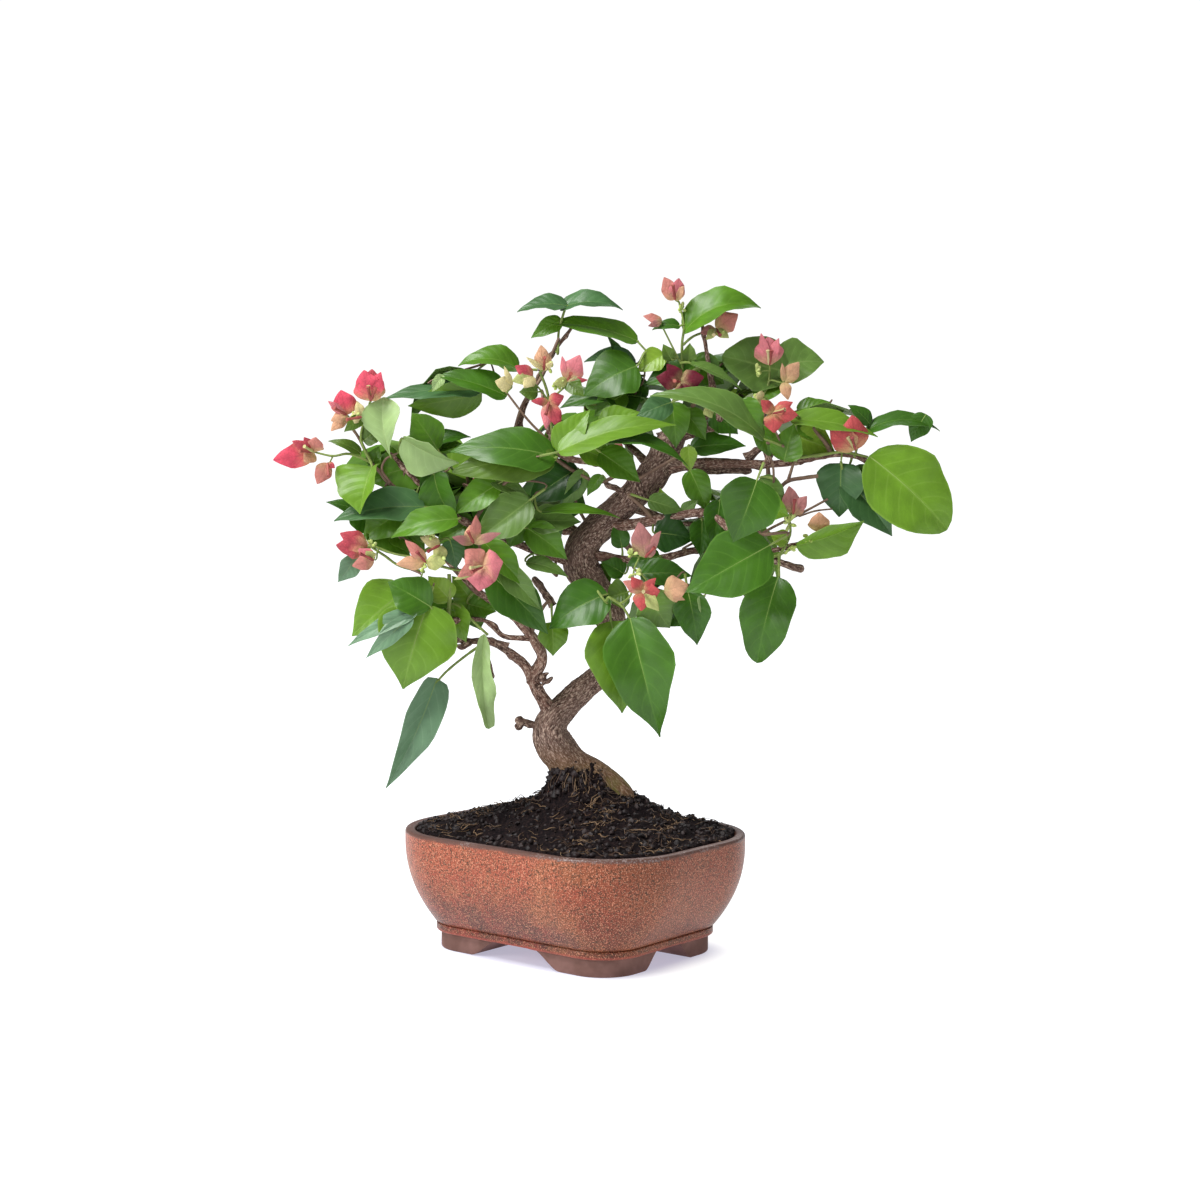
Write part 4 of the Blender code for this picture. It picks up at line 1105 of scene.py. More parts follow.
bloom(foot=(662, 321), back=0, bracts=[
    dict(tint="salmon", tip=(643, 316), wide=3, tilt=20),
    dict(tint="dusty", tip=(648, 326), wide=2.2, tilt=-20)])
bloom(foot=(716, 329), back=0, tubes=2, bracts=[
    dict(tint="salmon", tip=(738, 314), wide=6.5, tilt=10),
    dict(tint="dusty", tip=(700, 333), wide=3.4, tilt=10),
    dict(tint="limeCream", tip=(729, 338), wide=3),
    dict(tint="limeCream", tip=(706, 340), wide=2.6)])
bloom(foot=(769, 365), back=-4, tubes=2, bracts=[
    dict(tint="pink", tip=(768, 337), wide=8.6, peak=0.5),
    dict(tint="pink", tip=(761, 333), wide=3.4, tilt=-20),
    dict(tint="pink", tip=(779, 338), wide=3.6, tilt=20)])
bloom(foot=(784, 382), back=-4, bracts=[
    dict(tint="peach", tip=(799, 362), wide=5),
    dict(tint="peach", tip=(782, 363), wide=1.8),
    dict(tint="peach", tip=(788, 400), wide=3.4)])
bloom(foot=(773, 413), back=-22, tubes=2, bracts=[
    dict(tint="coral", tip=(793, 402), wide=4, tilt=30),
    dict(tint="coral", tip=(761, 400), wide=3.8, tilt=10),
    dict(tint="coral", tip=(798, 415), wide=5.4, tilt=-10),
    dict(tint="coral", tip=(774, 433), wide=5.6)])
bloom(foot=(764, 397), back=-18, bracts=[
    dict(tint="limeCream", tip=(750, 411), wide=4),
    dict(tint="cream", tip=(756, 394), wide=3)])
bloom(foot=(680, 382), back=-12, tubes=1, bracts=[
    dict(tint="crimson", tip=(656, 377), wide=5.6),
    dict(tint="crimson", tip=(667, 364), wide=4.6),
    dict(tint="crimson", tip=(704, 377), wide=6),
    dict(tint="crimson", tip=(686, 394), wide=5)])
bloom(foot=(706, 407), back=-16, bracts=[
    dict(tint="peach", tip=(725, 404), wide=3),
    dict(tint="limeCream", tip=(712, 418), wide=3)])
bloom(foot=(855, 450), back=-18, tubes=2, bracts=[
    dict(tint="coral", tip=(852, 415), wide=8.5, tilt=8),
    dict(tint="coral", tip=(830, 427), wide=7.5, tilt=-20)])
bloom(foot=(793, 514), back=-22, tubes=1, bracts=[
    dict(tint="dusty", tip=(789, 486), wide=5.4),
    dict(tint="dusty", tip=(807, 496), wide=4.4, tilt=20)])
bloom(foot=(819, 532), back=-22, bracts=[
    dict(tint="peach", tip=(819, 512), wide=6.2),
    dict(tint="peach", tip=(833, 530), wide=1.7)])
bloom(foot=(645, 557), back=-34, tubes=1, bracts=[
    dict(tint="dusty", tip=(639, 522), wide=6.4, tilt=-8),
    dict(tint="dusty", tip=(661, 531), wide=3.4, tilt=20),
    dict(tint="dusty", tip=(655, 543), wide=3.6)])
bloom(foot=(643, 592), back=-40, tubes=2, bracts=[
    dict(tint="salmon", tip=(623, 581), wide=3.6, tilt=10),
    dict(tint="coral", tip=(631, 577), wide=3.6),
    dict(tint="coral", tip=(656, 578), wide=3, tilt=10),
    dict(tint="coral", tip=(660, 591), wide=5.2, tilt=-8),
    dict(tint="coral", tip=(641, 611), wide=5.2),
    dict(tint="limeCream", tip=(659, 611), wide=4)])
bloom(foot=(664, 591), back=-38, bracts=[
    dict(tint="peach", tip=(688, 585), wide=7.4, tilt=14),
    dict(tint="peach", tip=(685, 600), wide=2.6, tilt=-10)])
# and its clusters of buds
displayBuds(at=(682, 309), back=2, count=7)
displayBuds(at=(756, 371), back=-2, count=6)
displayBuds(at=(789, 523), back=-22, count=11, long=7)
displayBuds(at=(632, 555), back=-34, count=7)
displayBuds(at=(430, 536), back=-40, count=6)
displayBuds(at=(441, 557), back=-42, count=6)
displayBuds(at=(372, 545), back=-38, count=6)
displayBuds(at=(808, 538), back=-20, count=7)
displayBuds(at=(424, 566), back=-43, count=6)
displayBuds(at=(714, 406), back=-14, count=5)
displayBuds(at=(548, 366), back=-18, count=6)
displayBuds(at=(558, 384), back=-20, count=6)
displayBuds(at=(636, 574), back=-38, count=5)
displayBuds(at=(492, 572), back=-44, count=4, long=4)
displayBuds(at=(724, 334), back=0, count=6)
displayBuds(at=(356, 415), back=-24, count=4, long=4)
displayBuds(at=(789, 548), back=-18, count=5)
displayBuds(at=(758, 400), back=-16, count=5)
print("blooms of the display side")


# The rest of the crown grows by rule: sprays of leaves round the middles of the masses, but only where
# the display side's leaves cover them, so that the gaps with sky stay open
hiddenMasses = {                # middle, half sizes, leaves wanted, the tints they take, and its blooms
    "back_left": ((-72, 46, 257), (29, 30, 24), 22, ("mid", "dark", "fresh"), ("deepPink", "pink")),
    "back_mid": ((-9, 66, 244), (24, 29, 19), 20, ("dark", "mid", "grey"), ("salmon", "rose")),
    "back_centre": ((18, 54, 301), (28, 30, 27), 24, ("mid", "fresh", "dark"), ("pink", "coral")),
    "back_right": ((90, 50, 239), (29, 32, 27), 24, ("dark", "mid", "fresh"), ("coral", "dusty")),
    "back_high": ((107, 60, 320), (26, 31, 20), 22, ("mid", "lime", "dark"), ("deepPink", "peach")),
    "back_low": ((48, 54, 203), (23, 27, 20), 16, ("dark", "mid", "grey"), ("pink",)),
    "left_high": ((-100, 8, 283), (24, 18, 20), 8, ("mid", "fresh")),
    "left_mid": ((-79, -2, 234), (34, 20, 20), 12, ("mid", "dark")),
    "left_low": ((-91, -14, 192), (22, 16, 16), 7, ("fresh", "mid")),
    "centre": ((-18, 10, 248), (26, 18, 20), 8, ("dark", "mid")),
    "high_centre": ((24, 20, 312), (26, 18, 18), 8, ("mid", "dark")),
    "top_right": ((95, 24, 326), (30, 18, 18), 10, ("mid", "dark")),
    "right_mid": ((85, 0, 238), (26, 20, 24), 8, ("dark", "mid")),
    "far_right": ((174, 16, 264), (18, 9, 16), 5, ("fresh", "mid")),
    "high_left": ((-66, 10, 320), (22, 14, 8), 4, ("dark", "mid")),
    "crown_top": ((75, 14, 345), (18, 16, 12), 5, ("mid", "fresh")),
    "right_high": ((136, 2, 300), (26, 16, 10), 6, ("mid", "lime")),
}
growth = dict(long=(34, 50), slim=(0.27, 0.36), tries=40, inner=0.3, apart=12, flowerLong=9,
              bractLong=(16, 22), bractSlim=0.4, bloomTries=60, bloomReach=22)
bloomEnds = ((14, 0, 0), (-14, 0, 0), (0, 0, 10), (0, 0, -10))     # round a bloom's far end
grownSpots = []
proud = 12 * mm                 # how far growth may stand out of the part's own box


def inside(dot, outline):
    x, y = dot
    hit = False
    for (ax, ay), (bx, by) in zip(outline, outline[1:] + outline[:1]):
        if (ay > y) != (by > y) and x < (bx - ax) * (y - ay) / (by - ay) + ax:
            hit = not hit
    return hit


def covered(spots):
    for spot in spots:
        place = displayToModel @ spot
        if not all(low - proud < value < high + proud for value, low, high in zip(place, *cadBox)):
            return False
    return all(any(spot.y > depth and inside(toView(spot), outline) for outline, depth in covers)
               for spot in spots)


def within(middle, half, way, reach=1):
    return middle + Vector(part * size * reach for part, size in zip(way, half))


def growLeaf(middle, half, tint):
    # one try at a leaf, which stays only where it is clear of the others and covered
    way = Vector((dice.gauss(0, 1), dice.gauss(0.35, 1), dice.gauss(0, 1))).normalized()
    spot = within(middle, half, way, dice.uniform(growth["inner"], 1))
    if any((spot - other).length < growth["apart"] for other in grownSpots):
        return False
    aside = Vector((dice.uniform(-0.7, 0.7), dice.uniform(-0.4, 0.6), dice.uniform(-0.8, 0.3)))
    heading = (way + aside).normalized()
    length = dice.uniform(*growth["long"])
    wide = length * dice.uniform(*growth["slim"])
    foot, tip = spot - heading * length * 0.45, spot + heading * length * 0.55
    face = Vector((0, 0, 1)) + way * 0.7 + Vector((dice.uniform(-0.5, 0.5), dice.uniform(-0.1, 0.5), 0))
    up = (face - heading * face.dot(heading)).normalized()
    side = heading.cross(up) * wide * 0.9
    middles = [spot + heading * length * share for share in (-0.25, 0, 0.25)]
    margins = [one + side for one in middles] + [one - side for one in middles]
    if not covered([foot, tip, *middles, *margins]):
        return False
    addLeaf(tint, foot, tip, up, wide, plainGrid, fold=dice.uniform(8, 30), curl=dice.uniform(15, 60),
            sway=dice.uniform(-2.5, 2.5), twist=dice.uniform(-14, 14))
    stalkTo(foot, heading, thick=0.8, reach=12)
    grownSpots.append(spot)
    return True


def growBloom(middle, half, tint):
    # one try at three bracts round a stalk, with flowers and buds between them
    way = Vector((dice.gauss(0, 0.8), dice.gauss(0.9, 0.6), dice.gauss(0.5, 0.6))).normalized()
    spot = within(middle, half, way)
    heading = (way + Vector((0, 0.2, 0.5))).normalized()
    if not covered([spot] + [spot + heading * growth["bloomReach"] + Vector(end) for end in bloomEnds]):
        return False
    side = heading.orthogonal().normalized()
    for k in range(3):
        lean = Matrix.Rotation(math.tau * k / 3 + dice.uniform(-0.3, 0.3), 3, heading) @ side
        way = (heading * 0.8 + lean * 0.6).normalized()
        length = dice.uniform(*growth["bractLong"])
        face = heading * 0.6 - lean * 0.8
        addBract(tint, spot, spot + way * length, face, length * growth["bractSlim"])
        addFlower(spot, (heading + lean * 0.25).normalized(), growth["flowerLong"], finish=k % 2)
    stalkTo(spot, heading, thick=0.6, reach=16)
    budCluster(spot, count=4)
    return True


def growMass(middle, half, count, tints, blooms=()):
    middle, half = Vector(middle), Vector(half)
    grown = 0
    for attempt in range(count * growth["tries"]):
        if grown == count:
            break
        grown += growLeaf(middle, half, tints[grown * len(tints) // count])
    for tint in blooms:
        for attempt in range(growth["bloomTries"]):
            if growBloom(middle, half, tint):
                break
    return grown


for name, mass in hiddenMasses.items():
    print(name, "grew", growMass(*mass), "leaves")


def leafSurface(name, colour, vein, rough, depth):
    surface = Surface(name, {"Roughness": rough, "Specular IOR Level": 0.4})
    across, along, own = surface.split(surface.grain())
    side = across.apart()
    # side veins leave the middle one in turn, and bend towards the tip
    course = (along - side ** 1.3 * 0.27) * 6.5 + across.step(-0.01, 0.01) * 0.45 + own * 3
    between = course.wave(0.5) * 2
    branch = (1 - between.step(0.03, 0.17)) * (1 - side.step(0.45, 1.05))
    middle = 1 - side.step(0.015, 0.075)
    patch = surface.cloud(11, detail=3)
    fine = surface.cloud(1.3, detail=2)
    surface.paint("Base Color", surface.layers(
        surface.mix(patch.step(0.3, 0.72), shade(colour, 0.84), shade(colour, 1.18)),
        (own * 0.6, shade(colour, 0.74)),
        (between * 0.1 + side * 0.14, shade(colour, 0.66)),
        (fine.step(0.5, 0.8) * 0.14, shade(colour, 1.4)),
        (side.step(0.93, 0.99) * 0.4, vein),
        (middle.over(branch * 0.6) * depth, vein)))
    surface.relief(between * 0.5 + fine * 0.12 + patch * 0.6 - middle * 0.2, depth=0.6, strength=0.34)
    surface.shineThrough(shade(colour, 1.5), 0.16)
    return surface.material


def bractSurface(name, colour):
    surface = Surface(name, {"Roughness": 0.55, "Specular IOR Level": 0.25})
    across, along, own = surface.split(surface.grain())
    side = across.apart()
    course = (along - side ** 1.2 * 0.4) * 5 + across.step(-0.01, 0.01) * 0.45
    branch = (1 - (course.wave(0.5) * 2).step(0.02, 0.2)).over(1 - side.step(0.015, 0.09))
    patch = surface.cloud(5, detail=3)
    net = surface.node("ShaderNodeTexVoronoi", {"feature": "DISTANCE_TO_EDGE"},
                       {"Vector": surface.place, "Scale": 1 / (1.7 * mm)})
    foot = 1 - (along + (patch - 0.5) * 0.3 - side * 0.1).step(0.02, 0.5)
    surface.paint("Base Color", surface.layers(
        surface.mix(patch.step(0.3, 0.7), shade(colour, 0.76), shade(colour, 1.04)),
        (foot * (0.3 + own * 0.6), tone(216, 204, 140)),
        ((1 - net.step(0.0, 0.16)) * 0.3, shade(colour, 0.6)),
        (branch * 0.45, shade(colour, 0.55))))
    surface.relief(net.step(0, 0.3) * 0.5 - branch * 0.5, depth=0.3, strength=0.6)
    surface.shineThrough(shade(colour, 1.25), 0.3)
    return surface.material


def stemSurface(name, colour, other):
    surface = Surface(name, {"Roughness": 0.55, "Specular IOR Level": 0.3})
    patch = surface.cloud(6, detail=3)
    surface.paint("Base Color", surface.mix(patch.step(0.35, 0.65), colour, other))
    surface.relief(surface.cloud(0.8, detail=2), depth=0.2, strength=0.4)
    return surface.material


masses = [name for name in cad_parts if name.startswith("foliage_")]
for tint, (upper, under, vein) in leafTints.items():
    finishes = [leafSurface("leaf_" + tint, upper, vein, rough=0.38, depth=0.34),
                leafSurface("leaf_under_" + tint, under, vein, rough=0.6, depth=0.5)]
    makePiece("leaves_" + tint.lower(), leafHeaps[tint], finishes, masses)
for tint, colour in bractTints.items():
    finish = bractSurface("bract_" + tint, colour)
    makePiece("bracts_" + tint.lower(), bractHeaps[tint], [finish, finish], masses)
ribFinish = stemSurface("leaf_rib", tone(138, 160, 84), tone(122, 148, 72))
budFinish = stemSurface("bud", tone(190, 200, 128), tone(168, 186, 96))
flowerFinishes = [stemSurface("flower_red", tone(128, 52, 54), tone(160, 84, 74)),
                  stemSurface("flower_green", tone(170, 170, 110), tone(190, 170, 130))]
shootFinish = stemSurface("shoot", tone(132, 152, 76), tone(112, 128, 62))
twigFinish = stemSurface("twig", tone(104, 80, 66), tone(128, 104, 84))
makePiece("leaf_ribs", ribHeap, [ribFinish], masses)
makePiece("buds", budHeap, [budFinish], masses)
makePiece("flower_tubes", flowerHeap, flowerFinishes, masses)
makePiece("green_shoots", shootHeap, [shootFinish], masses)
makePiece("twigs", twigHeap, [twigFinish], masses)
makePiece("stubs", stubHeap, [trunkBark], sharp=180)
print("crown")


# The pot: the same outline as the part's, in finer steps
pot = dict(rim=(93.4, 73.2, 50.9), ledge=(71.4, 55.3, 25.6), height=69.0, ledgeBottom=10.3, ledgeTop=15.0,
           straight=62.0, curve=2.1, wall=6.0, floor=17.0, edge=0.9, lip=1.8, footInset=2.8,
           wallFrom=1.2, wallStep=1.8, wallTo=2.2, inside=(64, 60, 55, 46, 37, 30, 24),
           archLong=(34.0, 12.0), archShort=(22.0, 8.0), archHeight=10.8, archSteps=16, archDepth=2,
           archReach=110, cornerSteps=20, sideSteps=10)


def roundedRing(outline, inset, height):
    halfLength, halfWidth, radius = (size - inset for size in outline)
    ring = []
    for corner in range(4):
        sideX = 1 if corner in (0, 3) else -1
        sideY = 1 if corner < 2 else -1
        centreX, centreY = sideX * (halfLength - radius), sideY * (halfWidth - radius)
        for step in range(pot["cornerSteps"] + 1):
            angle = math.radians(90) * (corner + step / pot["cornerSteps"])
            x, y = centreX + radius * math.cos(angle), centreY + radius * math.sin(angle)
            ring.append(Vector((x, y, height)))
    full = []
    for i, spot in enumerate(ring):
        full.append(spot)
        if i % (pot["cornerSteps"] + 1) == pot["cornerSteps"]:
            after = ring[(i + 1) % len(ring)]
            full.extend(spot.lerp(after, k / pot["sideSteps"]) for k in range(1, pot["sideSteps"]))
    return full


def potOutline(height):
    drop = (pot["straight"] - min(height, pot["straight"])) / (pot["straight"] - pot["ledgeTop"])
    inward = min(drop, 1) ** pot["curve"]
    return [rim + (ledge - rim) * inward for rim, ledge in zip(pot["rim"], pot["ledge"])]


def loftRings(rings):
    return tubeHeap([spot for ring in rings for spot in ring], len(rings), len(rings[0]))


def bareMesh(name, heap):
    mesh = bpy.data.meshes.new(name)
    mesh.from_pydata(heap.points, [], heap.faces)
    thing = bpy.data.objects.new(name, mesh)
    bpy.context.scene.collection.objects.link(thing)
    return thing


def quarter(steps):
    # two shares for each ring round a quarter turn: one falls from 1 to 0, the other rises from 0 to 1
    for step in range(steps + 1):
        angle = math.radians(90) * step / steps
        yield 1 - math.sin(angle), 1 - math.cos(angle)


def potShell():
    ledge, rim, edge, lip = potOutline(pot["ledgeTop"]), pot["rim"], pot["edge"], pot["lip"]
    rings = []
    for closing, opening in quarter(4):         # under the ledge, out and round its lower edge
        rings.append(roundedRing(ledge, edge * closing, pot["ledgeBottom"] + edge * opening))
    for closing, opening in quarter(4):         # round its upper edge, to the foot of the wall
        rings.append(roundedRing(ledge, edge * opening, pot["ledgeTop"] - edge * closing))
    height = pot["ledgeTop"] + pot["wallFrom"]
    while height < pot["height"] - pot["wallTo"]:
        rings.append(roundedRing(potOutline(height), 0, height))
        height += pot["wallStep"]
    for closing, opening in quarter(6):         # over the lip
        rings.append(roundedRing(rim, lip * opening, pot["height"] - lip * closing))
    for closing, opening in quarter(6):
        rings.append(roundedRing(rim, pot["wall"] - lip * closing, pot["height"] - lip * opening))
    for height in (*pot["inside"], pot["floor"]):
        rings.append(roundedRing(potOutline(height), pot["wall"], height))
    return bareMesh("pot_glazed", loftRings(rings))


def archCutter(halfWidths, turn):
    foot, crown = halfWidths
    side = []
    for step in range(pot["archSteps"] + 1):
        part = step / pot["archSteps"]
        side.append((foot + (crown - foot) * part, pot["archHeight"] * (part * part * (3 - 2 * part))))
    section = [(foot, -pot["archDepth"])] + side
    section += [(-x, z) for x, z in reversed(section)]
    spin = Matrix.Rotation(turn, 3, "Z")
    ends = (pot["archReach"], -pot["archReach"])
    return bareMesh("arch", loftRings([[spin @ Vector((x, y, z)) for x, z in section] for y in ends]))


def cut(thing, other, operation):
    change = thing.modifiers.new("cut", "BOOLEAN")
    change.object = other
    change.operation = operation
    change.solver = "EXACT"
    bpy.ops.object.select_all(action="DESELECT")
    bpy.context.view_layer.objects.active = thing
    thing.select_set(True)
    bpy.ops.object.modifier_apply(modifier=change.name)
    bpy.data.objects.remove(other)


def potSurface():
    surface = Surface("pot_glaze", {"Specular IOR Level": 0.22, "Coat Roughness": 0.22, "Coat IOR": 1.5})
    x, y, z = surface.split(surface.place)
    cloudy = surface.cloud(34, detail=4, rough=0.55)
    streak = surface.cloud(16, detail=3)
    speck = surface.cloud(1.15, detail=3, rough=0.65)
    grit = surface.cloud(0.62, detail=2)
    # level: the height up the pot, broken up by the cloudy glaze; it carries the painted shade below
    level = z / (pot["height"] * mm) + (cloudy - 0.5) * 0.34
    low = (1 - z.step(0.0112, 0.0124)) * z.step(0.0102, 0.0106)
    lip = (z + (streak - 0.5) * 0.0022).step(0.0662, 0.068)
    worn = lip * speck.step(0.5, 0.62) * cloudy.step(0.46, 0.6)
    bare = 1 - (z + (speck - 0.5) * 0.0012).step(0.0098, 0.0108)
    clay = surface.mix(streak.step(0.35, 0.7), tone(106, 76, 68), tone(132, 98, 90))
    surface.paint("Base Color", surface.layers(
        # painted shade: the glaze darkens towards the bottom, under the belly, as level falls
        surface.mix(level.step(0.28, 0.75), tone(82, 34, 28), tone(148, 72, 48)),
        (streak.step(0.42, 0.68) * 0.6, tone(142, 54, 40)),
        (cloudy.step(0.48, 0.66) * 0.55, tone(144, 92, 56)),
        # painted shade: the pot's side towards +x, which faces away from the lamps, is darker
        ((x + (cloudy - 0.5) * 0.05).step(0.0, 0.07) * 0.6, tone(116, 54, 28)),
        (speck.step(0.51, 0.57) * 0.85, tone(58, 42, 26)),
        (grit.step(0.55, 0.63) * 0.65, tone(222, 150, 116)),
        (low * 0.5, tone(160, 70, 56)),
        (lip * 0.9, tone(84, 62, 56)),
        (worn * 0.7, tone(160, 142, 138)),
        (bare, clay)))
    surface.paint("Coat Weight", (1 - bare) * 0.2)
    surface.paint("Roughness", 0.42 + bare * 0.35 + speck * 0.12)
    surface.relief(speck * 0.5 + grit * 0.3 + cloudy * 0.2, depth=0.35, strength=0.5)
    return surface.material


def makePot():
    shell = potShell()
    ledge = potOutline(pot["ledgeTop"])
    foot = []
    for closing, opening in quarter(3):
        foot.append(roundedRing(ledge, pot["footInset"] + pot["edge"] * closing, pot["edge"] * opening))
    foot.append(roundedRing(ledge, pot["footInset"], pot["ledgeBottom"] + 1))
    cut(shell, bareMesh("feet", loftRings(foot)), "UNION")
    cut(shell, archCutter(pot["archLong"], 0), "DIFFERENCE")
    cut(shell, archCutter(pot["archShort"], math.radians(90)), "DIFFERENCE")
    shell.data.transform(potToModel)
    shell.data.materials.append(potSurface())
    shell.data.polygons.foreach_set("use_smooth", [True] * len(shell.data.polygons))
    shell.data.set_sharp_from_angle(angle=math.radians(38))
    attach(shell, "root")
    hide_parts("pot")
    print("pot", len(shell.data.polygons), "faces")


makePot()

# Soil: a heap that rises to the trunk, with crumbs and fibres on it
soil = dict(edge=66.5, centre=(6.0, 0.0), rise=28.0, collarRise=15.0, collarRadius=22.0, lump=1.5,
            lumpScale=0.06, rough=((3, 0.16, 2.2), (7, 0.42, 1.6), (9, 1.1, 0.7)), bank=3, bankWide=0.06,
            gap=0.3, under=8, rings=80, ringReach=0.93)
crumbs = dict(count=2400, size=(0.35, 1.6), clods=150, clodSize=(1.2, 3.0), clodReach=(13, 24))
fibres = dict(count=800, step=2.0, thick=(0.12, 0.34), hangers=130, hangerReach=(10, 17),
              hangerTop=(100, 107), hangerLow=(88, 96), hangerThick=(0.14, 0.45))
heapCentre = Matrix.Rotation(azimuth, 3, "Z") @ Vector((*soil["centre"], 0))
soilEdge = roundedRing(potOutline(soil["edge"]), pot["wall"] + soil["gap"], soil["edge"])
mounds = [                      # by the root, under the rootlets at the left, in front, and a hollow
    dict(bearing=5, spread=0.8, rise=4.0, distance=31, reach=10),
    dict(bearing=197, spread=0.75, rise=12.0, distance=12, reach=7.5),
    dict(bearing=310, spread=0.5, rise=2.0, distance=22, reach=9),
    dict(bearing=55, spread=0.8, rise=-8.0, distance=13, reach=9),
]


def soilHeight(x, y, scale):
    distance = math.hypot(x - heapCentre.x, y - heapCentre.y)
    bearing = math.atan2(y - heapCentre.y, x - heapCentre.x) - azimuth
    inward = 1 - scale
    height = soil["edge"] + soil["rise"] * inward
    height += soil["collarRise"] * math.exp(-((distance / soil["collarRadius"]) ** 4))
    for mound in mounds:
        near = turned(bearing - math.radians(mound["bearing"]))
        away = distance - mound["distance"]
        height += mound["rise"] * bell(near / mound["spread"]) * bell(away / mound["reach"])
    height += soil["lump"] * noise.noise(Vector((x, y, 0)) * soil["lumpScale"]) * min(1, inward * 12)
    rough = sum(noise.noise(Vector((x, y, level)) * scale) * out for level, scale, out in soil["rough"])
    bank = soil["bank"] * bell(inward / soil["bankWide"]) * min(1, inward * 60)
    return height + rough * min(1, inward * 9) + bank


def soilSpot(share, scale):
    # a place on the heap: its share of the way round, and how far out it lies
    place = share * len(soilEdge)
    low = int(place) % len(soilEdge)
    edge = soilEdge[low].lerp(soilEdge[(low + 1) % len(soilEdge)], place - int(place))
    x = heapCentre.x + (edge.x - heapCentre.x) * scale
    y = heapCentre.y + (edge.y - heapCentre.y) * scale
    return Vector((x, y, soilHeight(x, y, scale)))


def besideTrunk(bearing, reach):
    return heapCentre.x + math.cos(bearing) * reach, heapCentre.y + math.sin(bearing) * reach


def makeSoil():
    rings = [[Vector((spot.x, spot.y, soil["edge"] - soil["under"])) for spot in soilEdge]]
    sides = len(soilEdge)
    for ring in range(soil["rings"]):
        scale = 1 - soil["ringReach"] * ring / (soil["rings"] - 1)
        rings.append([soilSpot(i / sides, scale) for i in range(sides)])
    heap = loftRings(rings)
    surface = Surface("soil", {"Roughness": 0.95, "Specular IOR Level": 0.15})
    grit = surface.cloud(1.6, detail=4, rough=0.7)
    patch = surface.cloud(9, detail=3)
    dark = surface.mix(grit.step(0.4, 0.75), tone(12, 7, 10), tone(46, 33, 32))
    surface.paint("Base Color", surface.mix(patch.step(0.55, 0.8) * 0.4, dark, tone(62, 45, 39)))
    surface.relief(grit, depth=1.2, strength=0.9)
    makePiece("soil_heap", heap, [surface.material], ["soil"], potToModel, sharp=180)


def makeCrumbs():
    heap = Heap()
    # a lump with two rings of five corners between its top and its bottom
    corners = [(0, 0, 1), (0.9, 0, 0.4), (0.28, 0.85, 0.4), (-0.72, 0.53, 0.4), (-0.72, -0.53, 0.4),
               (0.28, -0.85, 0.4), (0.72, 0.53, -0.45), (-0.28, 0.85, -0.45), (-0.9, 0, -0.45),
               (-0.28, -0.85, -0.45), (0.72, -0.53, -0.45), (0, 0, -1)]
    sides = [(1 + k, 1 + (k + 1) % 5, 6 + k, 6 + (k + 1) % 5) for k in range(5)]
    faces = [(0, a, b) for a, b, c, d in sides]
    faces += [face for a, b, c, d in sides for face in ((a, c, b), (b, c, d))]
    faces += [(11, d, c) for a, b, c, d in sides]

    def addLump(spot, size, uneven, finish):
        heap.add([spot + Vector(way) * size * dice.uniform(*uneven) for way in corners], faces, finish)

    for crumb in range(crumbs["count"]):
        spot = soilSpot(dice.random(), math.sqrt(dice.uniform(0.02, 0.98)))
        addLump(spot, dice.uniform(*crumbs["size"]) ** 1.5, (0.6, 1.25), crumb % 2)
    for clod in range(crumbs["clods"]):
        # clods that cling to the foot of the trunk, mostly to the left and in front
        bearing = azimuth + math.radians(dice.choice((dice.uniform(95, 300), dice.uniform(150, 250))))
        reach = dice.uniform(*crumbs["clodReach"])
        x, y = besideTrunk(bearing, reach)
        size = dice.uniform(*crumbs["clodSize"])
        spot = Vector((x, y, soilHeight(x, y, reach / 80) + dice.uniform(-1.5, 1.5)))
        addLump(spot, size, (0.5, 1.3), clod % 2)
    finishes = [stemSurface("crumb_dark", tone(18, 12, 14), tone(35, 24, 25)),
                stemSurface("crumb_brown", tone(44, 31, 30), tone(28, 19, 20))]
    makePiece("soil_crumbs", heap, finishes, (), potToModel, sharp=60)


def makeFibres():
    heap = Heap()
    for fibre in range(fibres["count"]):
        share, scale = dice.random(), math.sqrt(dice.uniform(0.01, 0.95))
        spot = soilSpot(share, scale)
        bearing = dice.uniform(0, math.tau)
        spots = []
        for step in range(dice.randint(4, 7)):
            spots.append(spot + Vector((0, 0, dice.uniform(-0.1, 0.7))))
            bearing += dice.uniform(-0.9, 0.9)
            x, y = spot.x + math.cos(bearing) * fibres["step"], spot.y + math.sin(bearing) * fibres["step"]
            spot = Vector((x, y, soilHeight(x, y, scale)))
        thick = dice.uniform(*fibres["thick"])
        addTube(heap, spots, [thick] * (len(spots) - 1) + [thick * 0.4], 4, fibre % 2)
    for hanger in range(fibres["hangers"]):
        # rootlets that hang from the foot of the trunk
        bearing = azimuth + math.radians(dice.uniform(150, 330))
        reach = dice.uniform(*fibres["hangerReach"])
        top = Vector((*besideTrunk(bearing, reach), dice.uniform(*fibres["hangerTop"])))
        low = Vector((*besideTrunk(bearing, reach + 6), dice.uniform(*fibres["hangerLow"])))
        side = Vector((dice.uniform(-1, 1), dice.uniform(-1, 1), -0.6)).normalized()
        thick = dice.uniform(*fibres["hangerThick"])
        spots = arc(top, side, low, Vector((0, 0, -1)), bow=0.5, steps=5)
        addTube(heap, spots, [thick * (1 - 0.1 * i) for i in range(len(spots))], 4, hanger % 2)
    finishes = [stemSurface("fibre_tan", tone(136, 110, 84), tone(104, 82, 62)),
                stemSurface("fibre_brown", tone(84, 62, 48), tone(66, 50, 40))]
    makePiece("soil_fibres", heap, finishes, (), potToModel)


makeSoil()
makeCrumbs()
makeFibres()
print("soil")
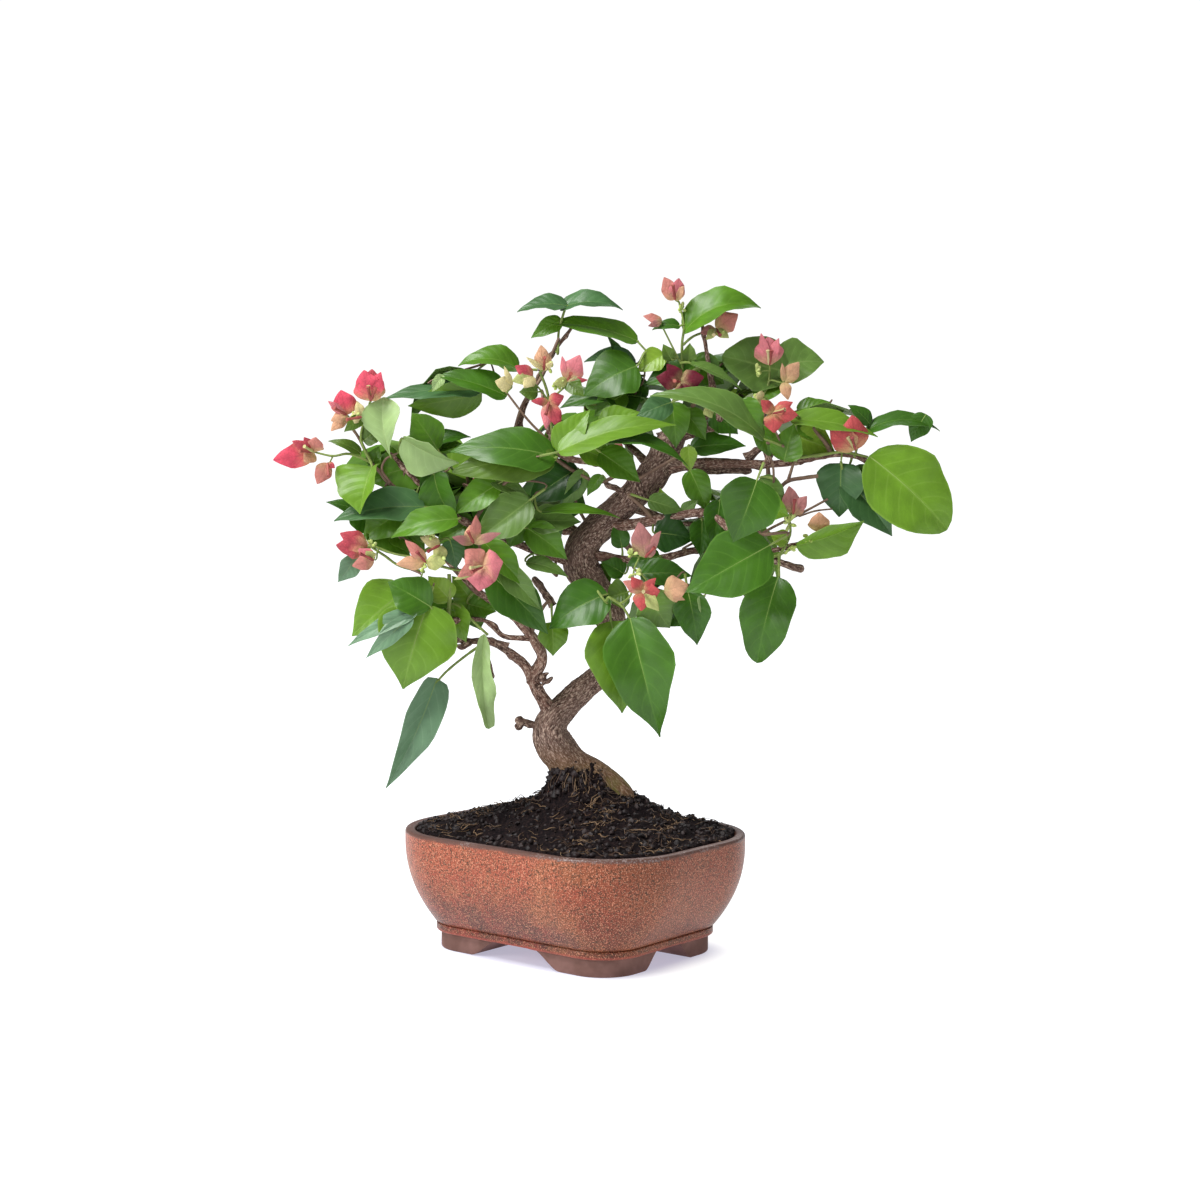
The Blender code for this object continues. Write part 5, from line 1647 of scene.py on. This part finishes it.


# A plain pale floor that glows white, with a painted bluish shadow close round the pot, and three soft
# lamps: the place of each in metres (right, back, up, as the display side is turned), its width and its
# power
softboxes = {
    "softbox_above": dict(place=(-0.8, -0.5, 1.6), size=0.8, power=32),
    "softbox_left": dict(place=(-1.6, -0.9, 0.9), size=0.7, power=15),
    "softbox_behind": dict(place=(0.4, 1.8, 1.2), size=1.0, power=5),
}
# shade: where round the pot's outline the painted shadow on the floor fades out
stage = dict(floor=80, lampAim=(0, 0, 0.2), sky=0.31, seen=1.05, shade=(0.9, 1.22), rest=(5, 20))


def makeFloor():
    bpy.ops.object.select_all(action="DESELECT")
    bpy.ops.mesh.primitive_plane_add(size=stage["floor"])
    floor = bpy.context.object
    floor.name = "studio_floor"
    surface = Surface("studio_floor", {"Base Color": (0.44, 0.46, 0.5, 1), "Roughness": 0.9,
                                       "Emission Strength": 1.0})
    x, y = surface.split(surface.place)[:2]
    x, y = x - potMiddle.x, y - potMiddle.y
    beside = ((x / (pot["ledge"][0] * mm)) ** 4 + (y / (pot["ledge"][1] * mm)) ** 4) ** 0.25
    # painted shadow: close round the pot the floor glows dimmer and bluish
    near = surface.mix(beside.step(*stage["shade"]), (0.42, 0.41, 0.51, 1), (0.93, 0.93, 0.93, 1))
    far = surface.mix(beside.step(*stage["rest"]), near, (0.97, 0.97, 0.97, 1))
    surface.paint("Emission Color", far)
    floor.data.materials.append(surface.material)


def softbox(name, place, size, power):
    lamp = bpy.data.objects.new(name, bpy.data.lights.new(name, "AREA"))
    lamp.data.shape = "DISK"
    lamp.data.size = size
    lamp.data.energy = power
    lamp.location = Matrix.Rotation(azimuth, 3, "Z") @ Vector(place)
    lamp.rotation_euler = (Vector(stage["lampAim"]) - lamp.location).to_track_quat("-Z", "Y").to_euler()
    bpy.context.scene.collection.objects.link(lamp)


def makeSky():
    # a soft grey light from all sides, which the camera sees as white
    world = bpy.data.worlds.new("studio")
    world.use_nodes = True
    sky = world.node_tree.nodes["Background"]
    sky.inputs["Color"].default_value = (0.97, 0.985, 1, 1)
    sky.inputs["Strength"].default_value = stage["sky"]
    seen = world.node_tree.nodes.new("ShaderNodeBackground")
    seen.inputs["Color"].default_value = (1, 1, 1, 1)
    seen.inputs["Strength"].default_value = stage["seen"]
    path = world.node_tree.nodes.new("ShaderNodeLightPath")
    both = world.node_tree.nodes.new("ShaderNodeMixShader")
    world.node_tree.links.new(path.outputs["Is Camera Ray"], both.inputs[0])
    world.node_tree.links.new(sky.outputs[0], both.inputs[1])
    world.node_tree.links.new(seen.outputs[0], both.inputs[2])
    world.node_tree.links.new(both.outputs[0], world.node_tree.nodes["World Output"].inputs[0])
    bpy.context.scene.world = world
    bpy.context.scene.view_settings.view_transform = "Standard"
    bpy.context.scene.view_settings.look = "None"


makeFloor()
for name, lamp in softboxes.items():
    softbox(name, **lamp)
makeSky()
print("stage")
